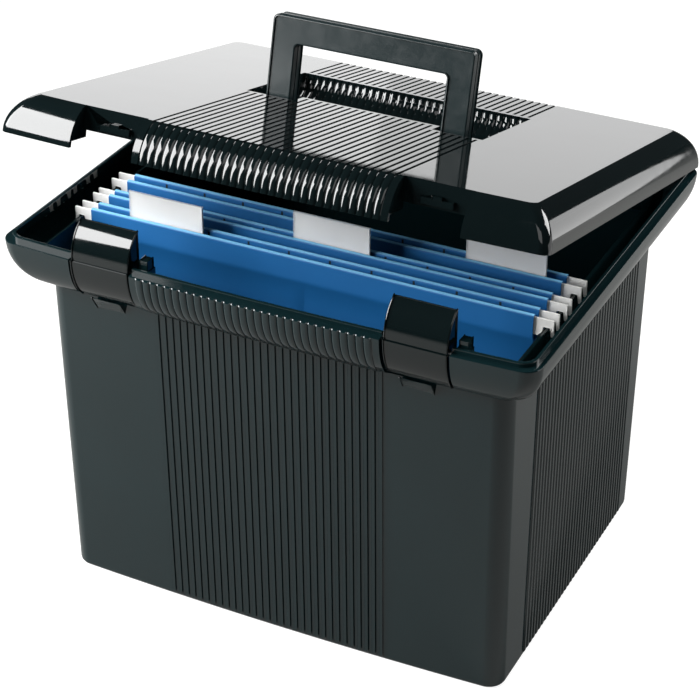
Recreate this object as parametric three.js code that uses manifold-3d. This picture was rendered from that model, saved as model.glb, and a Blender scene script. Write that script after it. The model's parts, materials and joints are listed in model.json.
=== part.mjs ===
// Portable hanging-file tote: a ribbed plastic tub with a flared rim, a hinged lid with a folding carry
// handle, two front latches and three hanging folders on the tub's rails.
// Millimetres, +Z up, front towards -Y, right towards +X; the tub stands on z = 0.
import * as THREE from "three";
import { mergeVertices } from "three/addons/utils/BufferGeometryUtils.js";
import Module from "manifold-3d";

const wasm = await Module();
wasm.setup();

// ---- Driving dimensions ----------------------------------------------------------------------------
// Gaps
const TOUCH = 0.3; // between pieces that touch or are pressed together
const RUN = 0.3; // round a pin that turns
const SHUT = 0.4; // between the closed lid and the rim ledge
// Tub
const BASE_W = 308; // outside of the wall just above the floor
const BASE_D = 235;
const WALL_TOP_Z = 220; // where the wall turns into the rim flare
const DRAFT_W = 1; // how much wider the wall is at its top than at its foot
const DRAFT_D = 13;
const FLARE_OUT_X = 22; // how far the flare goes out on each side
const FLARE_OUT_Y = 19;
const FLARE_H = 31;
const FRONT_BOW = 5; // how far the middle of the front stands out past its corners
const WALL = 2.5;
const FLOOR = 2.8;
const FOOT = 3; // chamfer round the bottom edge
const CORNER_R = 11;
const LEDGE = 4; // flat ledge outside the lip, which the lid sits on
const LIP_T = 2.2;
const LIP_H = 3;
const WALL_TOP_W = BASE_W + DRAFT_W;
const WALL_TOP_D = BASE_D + DRAFT_D;
const RIM_W = WALL_TOP_W + 2 * FLARE_OUT_X; // outside of the rim ledge
const RIM_D = WALL_TOP_D + 2 * FLARE_OUT_Y;
const RIM_Z = WALL_TOP_Z + FLARE_H;
// Ribbed panels
const RIB_PITCH = 5;
const RIB_FOOT = 3.2; // width at the wall
const RIB_CREST = 2;
const RIB_H = 1;
const FRONT_RIBS = 31;
const SIDE_RIBS = 35;
const SIDE_RIBS_Y = 8.5; // middle of the ribbed panel on each side
// File rails
const RAIL_IN_GUTTER = 2.7; // rail outside the top of the wall
const RAIL_T = 2.4;
const RAIL_BELOW_RIM = 8.6;
const RAIL_END_GAP = 3; // from each end of a rail to the wall
const RAIL_X = WALL_TOP_W / 2 + RAIL_IN_GUTTER;
const RAIL_Z = RIM_Z - RAIL_BELOW_RIM;
const RAIL_L = WALL_TOP_D - 2 * RAIL_END_GAP;
// Lid, as it lies closed
const LID_OPEN_DEG = 13.8; // how far it stands open
const LID_H = 23.4;
const LID_INSET = 0.8; // lid's lower edge inside the rim's outer edge
const LID_WALL = 2.4;
const LID_CORNER_R = 6;
const LID_FLUTE_H = 0.8;
const ROLL_IN = 16; // how far the rolled edges come in by the top
const BAND_GROOVE_W = 2;
const BAND_GROOVE_H = 0.9;
const NOTCH_END_T = 1.8; // end walls of the latch notches
const NOTCH_BACK_IN = 1; // back wall of the notches behind the crease
const CATCH_W = 21;
const CATCH_H = 4.5;
const CATCH_GAP = 1; // between the catch's bump and the hook over it
const SINK = 0.5; // how far a catch or a leaf is set into the lid's wall
const CATCH_BUMP_W = 6.5;
const CATCH_BUMP_H = 1.4;
const HOLLOW_BELOW_CATCH = 4; // the hollow behind the back wall starts below the catch
// Latches
const LATCH_FROM_RIBS = 5.4; // notch outside the ribbed panel
const LATCH_W = 40;
const LATCH_T = 2.4;
const LATCH_SIDE_GAP = 1.5; // between a latch and the notch that it stands in
const LATCH_STEP = 1.2; // the upper plate stands behind the ledge of the lower one
const LATCH_BACK_GAP = 2.2; // between the cheeks and the notch's back wall
const LATCH_TOP_DROP = 0.8; // top of the latch below the top of the lid
const LATCH_PIVOT_IN = 8.5; // pivot behind the front of the plate
const LATCH_PIVOT_DROP = 4; // pivot below the rim
const LATCH_FOOT_UP = 2.5; // foot of the plate above the start of the flare
const LATCH_PIN_R = 2;
const HOOK_W = 20;
const HOOK_H = 2.6;
const HOOK_DROP = 6.4; // hook's lower face below the top of the lid
const HOOK_BACK = 1; // hook's end in front of the back of the cheeks
const LUG_W = 6; // guide lug that stands beside each latch
const LUG_D = 8;
const LUG_FORWARD = 1; // lug's front before the latch's pivot
const LUG_H = 7.5; // above the rim
const LUG_ROOT = 6.5; // below the rim
const STOP_W = 20.6; // stop tab on the wall under each latch
const STOP_SHIFT = -5;
const STOP_DROP = 12; // its lower end below the start of the flare
const STOP_STAND_OFF = 6;
const STOP_TIP_T = 1.6;
const STOP_TIP_GAP = 2.5; // between its tip and the foot of the latch
const STOP_ROOT_DROP = 8; // its upper root below the foot of the latch
const LATCH_DEPTH = LID_INSET + ROLL_IN + NOTCH_BACK_IN - LATCH_BACK_GAP; // plate to the back of the cheeks
const LATCH_PIVOT_Z = RIM_Z - LATCH_PIVOT_DROP;
const LATCH_FOOT_Z = WALL_TOP_Z + LATCH_FOOT_UP;
// Lid hinge
const HINGE_BACK = 4.5; // hinge axis behind the rim
const HINGE_UP = 1; // and above it
const BARREL_R = 3.8;
const HINGE_PIN_R = 1.6;
const HINGE_X = 110;
const KNUCKLE_L = 24; // lid knuckle between two tub ears
const EAR_L = 8;
const EAR_ROOT = 12; // root of the ears below the rim
const EAR_ROOT_IN = 1.5; // and inside its edge
const LEAF_H = 8; // top of the knuckle's leaf above the hinge axis
const HINGE_Y = RIM_D / 2 + HINGE_BACK;
const HINGE_Z = RIM_Z + HINGE_UP;
// Handle
const HANDLE_W = 136.6;
const HANDLE_LEG = 17;
const HANDLE_T = 12.8;
const HANDLE_H = 51.2; // above the top of the lid
const HANDLE_GRIP = 17;
const HANDLE_CORNER_R = 4;
const HANDLE_INNER_R = 2.5;
const HANDLE_SINK = 0.6; // the folded handle's face below the top of the lid
const HANDLE_PIVOT_Y = -0.8;
const HANDLE_PIN_R = 2.6;
const HANDLE_PIN_IN = 1; // how far a pin reaches past a leg
const HANDLE_PIVOT_DROP = HANDLE_T / 2 + HANDLE_SINK; // pivot below the top of the lid
// Handle trough
const TROUGH_SIDE = 12.2; // beside the handle
const TROUGH_UNDER = 2.6; // under its legs
const TROUGH_FINGERS = 15.8; // behind the folded grip
const TROUGH_BETWEEN = 3.8; // front edge between the legs behind the pivot
const POCKET_ROUND = 2.4; // the pockets before a leg
const POCKET_INSIDE = 4.3; // and inside it
const TROUGH_WALL = 2.4;
const TROUGH_W = HANDLE_W + 2 * TROUGH_SIDE;
const TROUGH_DEPTH = HANDLE_PIVOT_DROP + HANDLE_T / 2 + TROUGH_UNDER;
const TROUGH_BACK = HANDLE_H + HANDLE_PIVOT_DROP + TROUGH_FINGERS;
const POCKET_INNER_X = HANDLE_W / 2 - HANDLE_LEG - POCKET_INSIDE;
// Hanging folders
const HANGER_T = 1.2;
const HANGER_H = 11.5;
const HANGER_UP = 5.6; // top of the bar above the rail
const HANGER_END = 4.5; // tip of a hook outside the middle of the rail
const HOOK_NOTCH = 5.6;
const HOOK_TIP_DROP = 5.6;
const HOOK_SLANT = 0.8; // the notch narrows by this at each side of its top
const HOOK_THROAT = 2; // start of the notch above the hook's tip
const HOOK_RUN_IN = 2.5; // length of the slope up to it
const JACKET_SIDE_GAP = 7.95; // between the card and the middle of the rail
const JACKET_H = 235;
const JACKET_T = 0.8;
const JACKET_FOLD_HALF = 3.4; // half width of the folded bottom
const SLEEVE_TAPER = 4; // where the two layers of a sleeve come together
const BAR_IN_CARD = 4; // how far the deep part of a bar starts inside the card
const FOLDERS = [
  { name: "front", bars: [-78.7, -70.2], tabX: -97.3 },
  { name: "middle", bars: [-57.7, -50.5], tabX: 6.5 },
  { name: "rear", bars: [-35, -26], tabX: 112 },
];
const TAB_W = 52;
const TAB_T = 2.1;
const TAB_H = 23;
const TAB_UP = 18.5; // top of a tab above the bar
const TAB_SKIN = 0.5;
const LABEL_T = 0.5;
const LABEL_H = 12.5;
const LABEL_END_GAP = 0.5;
const BAR_TOP_Z = RAIL_Z + HANGER_UP;
const JACKET_W = 2 * (RAIL_X - JACKET_SIDE_GAP);
const TAB_TOP_Z = BAR_TOP_Z + TAB_UP;
// Steps of the round shapes
const ROUND_SIDES = 20;
const CORNER_STEPS = 4;
const FLARE_STEPS = 6;
const ROLL_STEPS = 5;
const PLATE_STEPS = 6;
const CURVE_STEPS = 6;
const MERGE = 1e-4; // points nearer than this are one
const PAST = 1; // how far a cut runs past what it cuts, and a joined piece into what it joins

// ---- Colours ---------------------------------------------------------------------------------------
const plastic = () => new THREE.MeshStandardMaterial({ color: 0x18211f, roughness: 0.22, metalness: 0 });
const steel = () => new THREE.MeshStandardMaterial({ color: 0x9a9da0, roughness: 0.35, metalness: 1 });
const bluePaper = () => new THREE.MeshStandardMaterial({ color: 0x0070bb, roughness: 0.8, metalness: 0 });
const coatedBar = () => new THREE.MeshStandardMaterial({ color: 0xe9e9e6, roughness: 0.45, metalness: 0 });
const clearPlastic = () => new THREE.MeshStandardMaterial({ color: 0xdfe6ea, roughness: 0.15, metalness: 0 });
const whiteCard = () => new THREE.MeshStandardMaterial({ color: 0xf0efec, roughness: 0.85, metalness: 0 });

// ---- Solids ----------------------------------------------------------------------------------------

// A closed three.js geometry as a solid that can be joined and cut.
function solid(geometry) {
  const bare = geometry.index ? geometry.toNonIndexed() : geometry.clone();
  bare.deleteAttribute("normal");
  bare.deleteAttribute("uv");
  const merged = mergeVertices(bare, MERGE);
  return new wasm.Manifold(
    new wasm.Mesh({
      numProp: 3,
      vertProperties: merged.attributes.position.array,
      triVerts: new Uint32Array(merged.index.array),
    }),
  );
}

function mesh(name, shape, material) {
  const { vertProperties, triVerts } = shape.getMesh();
  const geometry = new THREE.BufferGeometry();
  geometry.setAttribute("position", new THREE.BufferAttribute(vertProperties, 3));
  geometry.setIndex(new THREE.BufferAttribute(triVerts, 1));
  geometry.computeVertexNormals();
  const made = new THREE.Mesh(geometry, material);
  made.name = name;
  return made;
}

function box([x0, x1], [y0, y1], [z0, z1]) {
  const geometry = new THREE.BoxGeometry(x1 - x0, y1 - y0, z1 - z0);
  return solid(geometry.translate((x0 + x1) / 2, (y0 + y1) / 2, (z0 + z1) / 2));
}

// A round rod along X.
function rod(radius, [x0, x1], y, z) {
  const geometry = new THREE.CylinderGeometry(radius, radius, x1 - x0, ROUND_SIDES);
  return solid(geometry.rotateZ(Math.PI / 2).translate((x0 + x1) / 2, y, z));
}

// A flat outline of [y, z] points, or a Shape in those axes, extruded along X.
function prismX(outline, [x0, x1]) {
  const shape = outline instanceof THREE.Shape ? outline : shapeOf(outline);
  const options = { depth: x1 - x0, bevelEnabled: false, curveSegments: CURVE_STEPS };
  const geometry = new THREE.ExtrudeGeometry(shape, options);
  const turn = new THREE.Matrix4().makeBasis(
    new THREE.Vector3(0, 1, 0),
    new THREE.Vector3(0, 0, 1),
    new THREE.Vector3(1, 0, 0),
  );
  return solid(geometry.applyMatrix4(turn).translate(x0, 0, 0));
}

// A Shape in [x, z] axes extruded along Y.
function prismY(shape, [y0, y1]) {
  const options = { depth: y1 - y0, bevelEnabled: false, curveSegments: CURVE_STEPS };
  const geometry = new THREE.ExtrudeGeometry(shape, options);
  return solid(geometry.rotateX(Math.PI / 2).translate(0, y1, 0));
}

function shapeOf(points) {
  return new THREE.Shape(points.map(([u, v]) => new THREE.Vector2(u, v)));
}

// ---- Outlines in plan ------------------------------------------------------------------------------

// Ribs along one side: their middle, measured the way the outline runs, their number and height.
function ribPanel(count, middle = 0, height = RIB_H) {
  return { count, middle, height };
}

// Points of one side of a plan outline, from its start corner to its end corner.
function sidePoints(half, panel, place) {
  const points = [place(-half, 0)];
  for (let i = 0; panel && i < panel.count; i++) {
    const s = panel.middle + (i - (panel.count - 1) / 2) * RIB_PITCH;
    points.push(place(s - RIB_FOOT / 2, 0), place(s - RIB_CREST / 2, panel.height));
    points.push(place(s + RIB_CREST / 2, panel.height), place(s + RIB_FOOT / 2, 0));
  }
  points.push(place(half, 0));
  return points;
}

// A rounded rectangle with ribs on some sides, anticlockwise from its front left corner.
function planOutline({ w, d, r }, panels = {}) {
  const a = w / 2;
  const b = d / 2;
  const arc = (cx, cy, from) =>
    Array.from({ length: CORNER_STEPS - 1 }, (_, i) => {
      const t = from + ((i + 1) / CORNER_STEPS) * (Math.PI / 2);
      return [cx + r * Math.cos(t), cy + r * Math.sin(t)];
    });
  return [
    ...sidePoints(a - r, panels.front, (s, out) => [s, -b - out]),
    ...arc(a - r, -b + r, -Math.PI / 2),
    ...sidePoints(b - r, panels.right, (s, out) => [a + out, s]),
    ...arc(a - r, b - r, 0),
    ...sidePoints(a - r, panels.rear, (s, out) => [-s, b + out]),
    ...arc(-a + r, b - r, Math.PI / 2),
    ...sidePoints(b - r, panels.left, (s, out) => [-a - out, -s]),
    ...arc(-a + r, -b + r, Math.PI),
  ];
}

function frontBow(x) {
  return FRONT_BOW * Math.max(0, 1 - (x / (RIM_W / 2)) ** 2);
}

// Moves v from a core of half length "from" to one of half length "to". The stretch that holds the ribs
// keeps its place, so that ribs stay upright, and only the plain margins grow or shrink.
function restretch(v, from, to, [keepLow, keepHigh]) {
  if (v > keepHigh) return keepHigh + ((v - keepHigh) * (to - keepHigh)) / (from - keepHigh);
  if (v < keepLow) return keepLow + ((v - keepLow) * (to + keepLow)) / (from + keepLow);
  return v;
}

const RIBBED_X = ((FRONT_RIBS - 1) / 2) * RIB_PITCH + RIB_FOOT / 2;
const RIBBED_Y = ((SIDE_RIBS - 1) / 2) * RIB_PITCH + RIB_FOOT / 2;
const KEEP_X = [-RIBBED_X, RIBBED_X];
const KEEP_Y = [SIDE_RIBS_Y - RIBBED_Y, SIDE_RIBS_Y + RIBBED_Y];

// A plan outline raised through levels { z, w, d }, each with its own width and depth.
function raised(base, panels, levels) {
  const steps = levels.length - 1;
  const outline = shapeOf(planOutline(base, panels));
  const geometry = new THREE.ExtrudeGeometry(outline, { depth: 1, steps, bevelEnabled: false });
  const coreX = base.w / 2 - base.r;
  const coreY = base.d / 2 - base.r;
  const position = geometry.attributes.position;
  for (let i = 0; i < position.count; i++) {
    const level = levels[Math.round(position.getZ(i) * steps)];
    const cx = THREE.MathUtils.clamp(position.getX(i), -coreX, coreX);
    const cy = THREE.MathUtils.clamp(position.getY(i), -coreY, coreY);
    const outX = position.getX(i) - cx;
    const outY = position.getY(i) - cy;
    const x = restretch(cx, coreX, level.w / 2 - base.r, KEEP_X) + outX;
    const y = restretch(cy, coreY, level.d / 2 - base.r, KEEP_Y) + outY;
    const share = THREE.MathUtils.clamp((-4 * y) / BASE_D, 0, 1);
    position.setXYZ(i, x, y - frontBow(x) * share, level.z);
  }
  return solid(geometry);
}

// ---- Tub -------------------------------------------------------------------------------------------

// Levels of the rim flare, a quarter ellipse from the top of the wall out to the ledge.
function flareLevels(inset, rise) {
  return Array.from({ length: FLARE_STEPS + 1 }, (_, i) => {
    const t = ((i / FLARE_STEPS) * Math.PI) / 2;
    return {
      z: WALL_TOP_Z + rise + (RIM_Z - WALL_TOP_Z - 2 * rise) * (1 - Math.cos(t)),
      w: WALL_TOP_W + (RIM_W - WALL_TOP_W) * Math.sin(t) - 2 * inset,
      d: WALL_TOP_D + (RIM_D - WALL_TOP_D) * Math.sin(t) - 2 * inset,
    };
  });
}

const wallBase = { w: BASE_W, d: BASE_D, r: CORNER_R };
const insideBase = { w: BASE_W - 2 * WALL, d: BASE_D - 2 * WALL, r: CORNER_R - WALL };
const rimBase = (inset) => ({ w: RIM_W - 2 * inset, d: RIM_D - 2 * inset, r: CORNER_R });
const frontFlutes = { front: ribPanel(FRONT_RIBS) };
const wallRibs = {
  front: ribPanel(FRONT_RIBS),
  rear: ribPanel(FRONT_RIBS),
  right: ribPanel(SIDE_RIBS, SIDE_RIBS_Y),
  left: ribPanel(SIDE_RIBS, -SIDE_RIBS_Y),
};

const level = (base, z, inset = 0) => ({ z, w: base.w - 2 * inset, d: base.d - 2 * inset });
const rimFront = (x) => -RIM_D / 2 - frontBow(x);
const wallFront = (x) => -WALL_TOP_D / 2 - frontBow(x);
const across = (x, half) => [x - half, x + half];
const notchHalf = LATCH_W / 2 + LATCH_SIDE_GAP;
const LATCH_X = RIBBED_X + LATCH_FROM_RIBS + notchHalf;

// What stands round one latch: a web each side that holds the pin, the guide lug and the stop tab.
function latchSeat(tub, flare, x) {
  const pivotY = rimFront(x) + LATCH_PIVOT_IN;
  const frontY = rimFront(0) - LEDGE;
  const lugTop = RIM_Z + LUG_H;
  const notch = box(across(x, notchHalf), [frontY, -BASE_D / 2 + WALL], [WALL_TOP_Z + PAST, lugTop]);
  const webSpan = box(across(x, notchHalf + LIP_T), [frontY, wallFront(x) + WALL], [WALL_TOP_Z, RIM_Z]);
  const lugX = x + notchHalf + LIP_T + TOUCH;
  const lugY = pivotY - LUG_FORWARD;
  const lug = box([lugX, lugX + LUG_W], [lugY, lugY + LUG_D], [RIM_Z - LUG_ROOT, lugTop]);
  const rootY = [rimFront(x) + LEDGE, pivotY + LUG_D];
  const lugRoot = box([lugX - LIP_T, lugX + LUG_W], rootY, [RIM_Z - LUG_ROOT, RIM_Z]);
  const stopFootZ = WALL_TOP_Z - STOP_DROP;
  const stopFootY = -BASE_D / 2 - frontBow(x) - (DRAFT_D / 2) * (stopFootZ / WALL_TOP_Z);
  const tipY = wallFront(x) - STOP_STAND_OFF;
  const tipZ = LATCH_FOOT_Z - STOP_TIP_GAP;
  const stop = [
    [stopFootY + PAST, stopFootZ],
    [tipY, tipZ],
    [tipY + STOP_TIP_T, tipZ],
    [wallFront(x) + PAST, LATCH_FOOT_Z - STOP_ROOT_DROP],
  ];
  const bore = rod(LATCH_PIN_R + TOUCH, across(x, notchHalf + LIP_T + PAST), pivotY, LATCH_PIVOT_Z);
  return tub
    .add(flare.intersect(webSpan))
    .subtract(notch)
    .add(lug)
    .add(lugRoot)
    .add(prismX(stop, across(x + STOP_SHIFT, STOP_W / 2)))
    .subtract(bore);
}

const hingeSpans = (x) => {
  const half = KNUCKLE_L / 2;
  return {
    knuckle: [x - half, x + half],
    ears: [
      [x - half - RUN - EAR_L, x - half - RUN],
      [x + half + RUN, x + half + RUN + EAR_L],
    ],
  };
};

function makeTub() {
  const wall = raised(wallBase, wallRibs, [
    { z: FOOT, w: BASE_W, d: BASE_D },
    { z: WALL_TOP_Z + PAST, w: WALL_TOP_W, d: WALL_TOP_D },
  ]);
  const footLevels = [level(wallBase, 0, FOOT), level(wallBase, FOOT), level(wallBase, FOOT + PAST)];
  const foot = raised(wallBase, {}, footLevels);
  const flare = raised(rimBase(0), frontFlutes, flareLevels(0, 0));
  const inside = raised(insideBase, {}, [
    level(insideBase, FLOOR),
    { z: WALL_TOP_Z + WALL, w: WALL_TOP_W - 2 * WALL, d: WALL_TOP_D - 2 * WALL },
  ]);
  const gutter = raised(rimBase(WALL), {}, flareLevels(WALL, WALL));
  const lipTop = RIM_Z + LIP_H;
  const lipBase = rimBase(LEDGE);
  const mouthBase = rimBase(LEDGE + LIP_T);
  const lip = raised(lipBase, {}, [level(lipBase, RIM_Z - WALL), level(lipBase, lipTop)]);
  const mouth = raised(mouthBase, {}, [level(mouthBase, RIM_Z - 2 * WALL), level(mouthBase, lipTop + PAST)]);
  let tub = wall.add(foot).add(flare).add(lip).subtract(inside).subtract(gutter).subtract(mouth);
  const armLow = RIM_Z - EAR_ROOT;
  const backY = RIM_D / 2 - LEDGE;
  const arm = [
    [backY, armLow],
    [RIM_D / 2 - EAR_ROOT_IN, armLow],
    [HINGE_Y + BARREL_R * Math.SQRT1_2, HINGE_Z - BARREL_R * Math.SQRT1_2],
    [HINGE_Y, RIM_Z - SHUT],
    [backY, RIM_Z - SHUT],
  ];
  for (const side of [-1, 1]) {
    const railX = across(side * RAIL_X, RAIL_T / 2);
    tub = tub.add(box(railX, across(0, RAIL_L / 2), [WALL_TOP_Z + PAST, RAIL_Z]));
    tub = latchSeat(tub, flare, side * LATCH_X);
    for (const ear of hingeSpans(side * HINGE_X).ears) {
      tub = tub.add(prismX(arm, ear)).add(rod(BARREL_R, ear, HINGE_Y, HINGE_Z));
      tub = tub.subtract(rod(HINGE_PIN_R + TOUCH, [ear[0] - PAST, ear[1] + PAST], HINGE_Y, HINGE_Z));
    }
  }
  return tub;
}

// ---- Lid, in the frame of its hinge axis, as it lies closed ----------------------------------------

const lidBaseZ = RIM_Z + SHUT;
const lidTopZ = lidBaseZ + LID_H;
const rollR = (ROLL_IN ** 2 + LID_H ** 2) / (2 * ROLL_IN);
const rollInset = (rise) => rollR - Math.sqrt(rollR ** 2 - rise ** 2);

// Levels of the rolled edge, an arc that starts upright at the lower edge.
function rollLevels(inset, top) {
  return Array.from({ length: ROLL_STEPS + 1 }, (_, i) => {
    const rise = (LID_H - top) * Math.sin(((i / ROLL_STEPS) * Math.PI) / 2);
    const grow = -2 * (LID_INSET + inset + rollInset(rise));
    return { z: lidBaseZ + rise, w: RIM_W + grow, d: RIM_D + grow };
  });
}

// One latch notch through the front roll, with closed ends, a back wall and the catch that the latch's
// hook goes over.
function lidNotch(lid, outer, x) {
  const backY = rimFront(x) + LID_INSET + ROLL_IN + NOTCH_BACK_IN;
  const frontY = rimFront(0) - LEDGE;
  const catchTop = lidTopZ - HOOK_DROP - CATCH_BUMP_H - CATCH_GAP;
  const catchY = [rimFront(x) + LATCH_DEPTH - HOOK_BACK + SHUT, backY + SINK];
  const endX = across(x, notchHalf + NOTCH_END_T);
  const endWalls = outer.intersect(box(endX, [frontY, backY + LID_WALL], [RIM_Z + LIP_H + PAST, lidTopZ]));
  const cut = box(across(x, notchHalf), [frontY, backY], [lidBaseZ - PAST, lidTopZ + PAST]);
  const hollowTop = lidTopZ - HOOK_DROP - CATCH_H - HOLLOW_BELOW_CATCH;
  const hollowY = [backY - PAST, backY + LID_WALL + PAST];
  const hollow = box(across(x, notchHalf), hollowY, [lidBaseZ - PAST, hollowTop]);
  const bar = box(across(x, CATCH_W / 2), catchY, [catchTop - CATCH_H, catchTop]);
  const bump = box(across(x, CATCH_BUMP_W / 2), catchY, [catchTop - PAST, catchTop + CATCH_BUMP_H]);
  return lid.add(endWalls).subtract(cut).subtract(hollow).add(bar).add(bump);
}

// The trough that the handle folds back into: pockets round the legs, and a back wall curved for fingers.
function troughShape(grow) {
  const top = lidTopZ + (grow ? 0 : PAST);
  const floor = lidTopZ - TROUGH_DEPTH - grow;
  const back = HANDLE_PIVOT_Y + TROUGH_BACK + grow;
  const between = HANDLE_PIVOT_Y + TROUGH_BETWEEN - grow;
  const pocket = HANDLE_PIVOT_Y - HANDLE_T / 2 - POCKET_ROUND - grow;
  const profile = (front) => {
    const shape = new THREE.Shape();
    shape.moveTo(front, floor);
    shape.lineTo(back - TROUGH_DEPTH, floor);
    shape.absarc(back - TROUGH_DEPTH, lidTopZ, lidTopZ - floor, -Math.PI / 2, 0, false);
    shape.lineTo(back + grow, top);
    shape.lineTo(front, top);
    return shape;
  };
  const half = TROUGH_W / 2 + grow;
  const inner = POCKET_INNER_X - grow;
  return prismX(profile(between), across(0, half))
    .add(prismX(profile(pocket), [-half, -inner]))
    .add(prismX(profile(pocket), [inner, half]));
}

function makeLid() {
  const outerBase = { ...level(rimBase(LID_INSET), 0), r: LID_CORNER_R };
  const innerBase = { ...level(rimBase(LID_INSET + LID_WALL), 0), r: LID_CORNER_R - LID_WALL };
  const flutes = { front: ribPanel(FRONT_RIBS, 0, LID_FLUTE_H) };
  const outer = raised(outerBase, flutes, rollLevels(LID_FLUTE_H, 0));
  const plain = raised(outerBase, {}, rollLevels(0, 0));
  const inner = rollLevels(LID_WALL, LID_WALL);
  const skin = raised(innerBase, {}, [{ ...inner[0], z: lidBaseZ - PAST }, ...inner]);
  const frontY = [rimFront(0) - LEDGE, rimFront(0) + ROLL_IN];
  const flutedFront = box(across(0, RIBBED_X + PAST), frontY, [lidBaseZ - PAST, lidTopZ + PAST]);
  let lid = plain.subtract(flutedFront).add(outer.intersect(flutedFront)).subtract(skin);
  for (let i = 0; i <= FRONT_RIBS; i++) {
    const x = (i - FRONT_RIBS / 2) * RIB_PITCH;
    const span = [rimFront(x) + ROLL_IN - 2 * PAST, RIM_D / 2 - ROLL_IN / 2];
    lid = lid.subtract(box(across(x, BAND_GROOVE_W / 2), span, [lidTopZ - BAND_GROOVE_H, lidTopZ + PAST]));
  }
  lid = lid.add(troughShape(TROUGH_WALL)).subtract(troughShape(0));
  const pivotZ = lidTopZ - HANDLE_PIVOT_DROP;
  const boreX = across(0, TROUGH_W / 2 + TROUGH_WALL + PAST);
  lid = lid.subtract(rod(HANDLE_PIN_R + TOUCH, boreX, HANDLE_PIVOT_Y, pivotZ));
  const backY = RIM_D / 2 - LID_INSET;
  const leaf = [
    [backY - LID_WALL + SINK, HINGE_Z + SINK],
    [HINGE_Y, HINGE_Z + SINK],
    [HINGE_Y, HINGE_Z + BARREL_R],
    [backY - EAR_ROOT_IN, HINGE_Z + LEAF_H],
  ];
  for (const side of [-1, 1]) {
    lid = lidNotch(lid, plain, side * LATCH_X);
    const { knuckle } = hingeSpans(side * HINGE_X);
    lid = lid.add(prismX(leaf, knuckle)).add(rod(BARREL_R, knuckle, HINGE_Y, HINGE_Z));
    lid = lid.subtract(rod(HINGE_PIN_R + RUN, [knuckle[0] - PAST, knuckle[1] + PAST], HINGE_Y, HINGE_Z));
  }
  return lid;
}

// ---- Handle ----------------------------------------------------------------------------------------

// The bail upright, its pivot axis at y = 0, z = 0.
function makeHandle() {
  const top = HANDLE_H + HANDLE_PIVOT_DROP;
  const half = HANDLE_W / 2;
  const inner = half - HANDLE_LEG;
  const innerTop = top - HANDLE_GRIP;
  const foot = -HANDLE_T / 2;
  const shape = new THREE.Shape();
  shape.moveTo(-half, foot);
  shape.lineTo(-inner, foot);
  shape.lineTo(-inner, innerTop - HANDLE_INNER_R);
  const bendX = inner - HANDLE_INNER_R;
  const bendZ = innerTop - HANDLE_INNER_R;
  shape.absarc(-bendX, bendZ, HANDLE_INNER_R, Math.PI, Math.PI / 2, true);
  shape.absarc(bendX, bendZ, HANDLE_INNER_R, Math.PI / 2, 0, true);
  shape.lineTo(inner, foot);
  shape.lineTo(half, foot);
  const cornerX = half - HANDLE_CORNER_R;
  const cornerZ = top - HANDLE_CORNER_R;
  shape.absarc(cornerX, cornerZ, HANDLE_CORNER_R, 0, Math.PI / 2, false);
  shape.absarc(-cornerX, cornerZ, HANDLE_CORNER_R, Math.PI / 2, Math.PI, false);
  const bail = prismY(shape, across(0, HANDLE_T / 2));
  // The leg ends are round about the pivot, so that they turn inside their pockets.
  const side = new THREE.Shape();
  side.absarc(0, 0, HANDLE_T / 2, Math.PI, 2 * Math.PI, false);
  side.lineTo(HANDLE_T / 2, top);
  side.lineTo(-HANDLE_T / 2, top);
  return bail
    .intersect(prismX(side, across(0, half + PAST)))
    .subtract(rod(HANDLE_PIN_R + RUN, across(0, half + PAST), 0, 0));
}

function handlePin(side) {
  const outer = TROUGH_W / 2 + TROUGH_WALL;
  const inner = HANDLE_W / 2 - HANDLE_LEG + HANDLE_PIN_IN;
  return rod(HANDLE_PIN_R, side < 0 ? [-outer, -inner] : [inner, outer], 0, 0);
}

// ---- Latches ---------------------------------------------------------------------------------------

// A latch upright, its pivot axis at y = 0, z = 0: a curved plate between two cheeks, open behind.
function makeLatch() {
  const front = -LATCH_PIVOT_IN;
  const back = front + LATCH_DEPTH;
  const topRise = LID_H - LATCH_TOP_DROP;
  const up = (rise) => [front + LATCH_STEP + rollInset(rise), RIM_Z - LATCH_PIVOT_Z + rise];
  const down = (t) => [
    front + FLARE_OUT_Y * (1 - Math.sin(t)),
    WALL_TOP_Z - LATCH_PIVOT_Z + FLARE_H * (1 - Math.cos(t)),
  ];
  const footTurn = Math.acos(1 - LATCH_FOOT_UP / FLARE_H);
  const shares = Array.from({ length: PLATE_STEPS + 1 }, (_, i) => i / PLATE_STEPS);
  const lower = shares.map((share) => down(footTurn + (Math.PI / 2 - footTurn) * share));
  const upper = shares.map((share) => up(topRise * Math.sin((share * Math.PI) / 2)));
  const skin = [...lower, ...upper];
  const topZ = upper.at(-1)[1];
  const [footY, footZ] = lower[0];
  const cheek = [...skin, [back, topZ], [back, -LATCH_PIVOT_IN], [footY + LATCH_T, footZ]];
  const inward = ([y, z]) => [y + LATCH_T, z - (Math.max(z, 0) / topZ) * LATCH_T];
  const behind = Math.max(back, footY) + LATCH_T + PAST;
  const below = footZ - LATCH_DEPTH;
  const hollow = [...skin.map(inward), [behind, topZ - LATCH_T], [behind, below], [footY + LATCH_T, below]];
  const hookZ = lidTopZ - HOOK_DROP - LATCH_PIVOT_Z;
  const hookFront = up(lidTopZ - HOOK_DROP + HOOK_H - RIM_Z)[0] + LATCH_T / 2;
  const body = prismX(cheek.reverse(), across(0, LATCH_W / 2));
  const cavity = prismX(hollow.reverse(), across(0, LATCH_W / 2 - LATCH_T));
  const hook = box(across(0, HOOK_W / 2), [hookFront, back - HOOK_BACK], [hookZ, hookZ + HOOK_H]);
  const bore = rod(LATCH_PIN_R + RUN, across(0, LATCH_W / 2 + PAST), 0, 0);
  return body.subtract(cavity).add(hook).subtract(bore);
}

// ---- Folders ---------------------------------------------------------------------------------------

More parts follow.
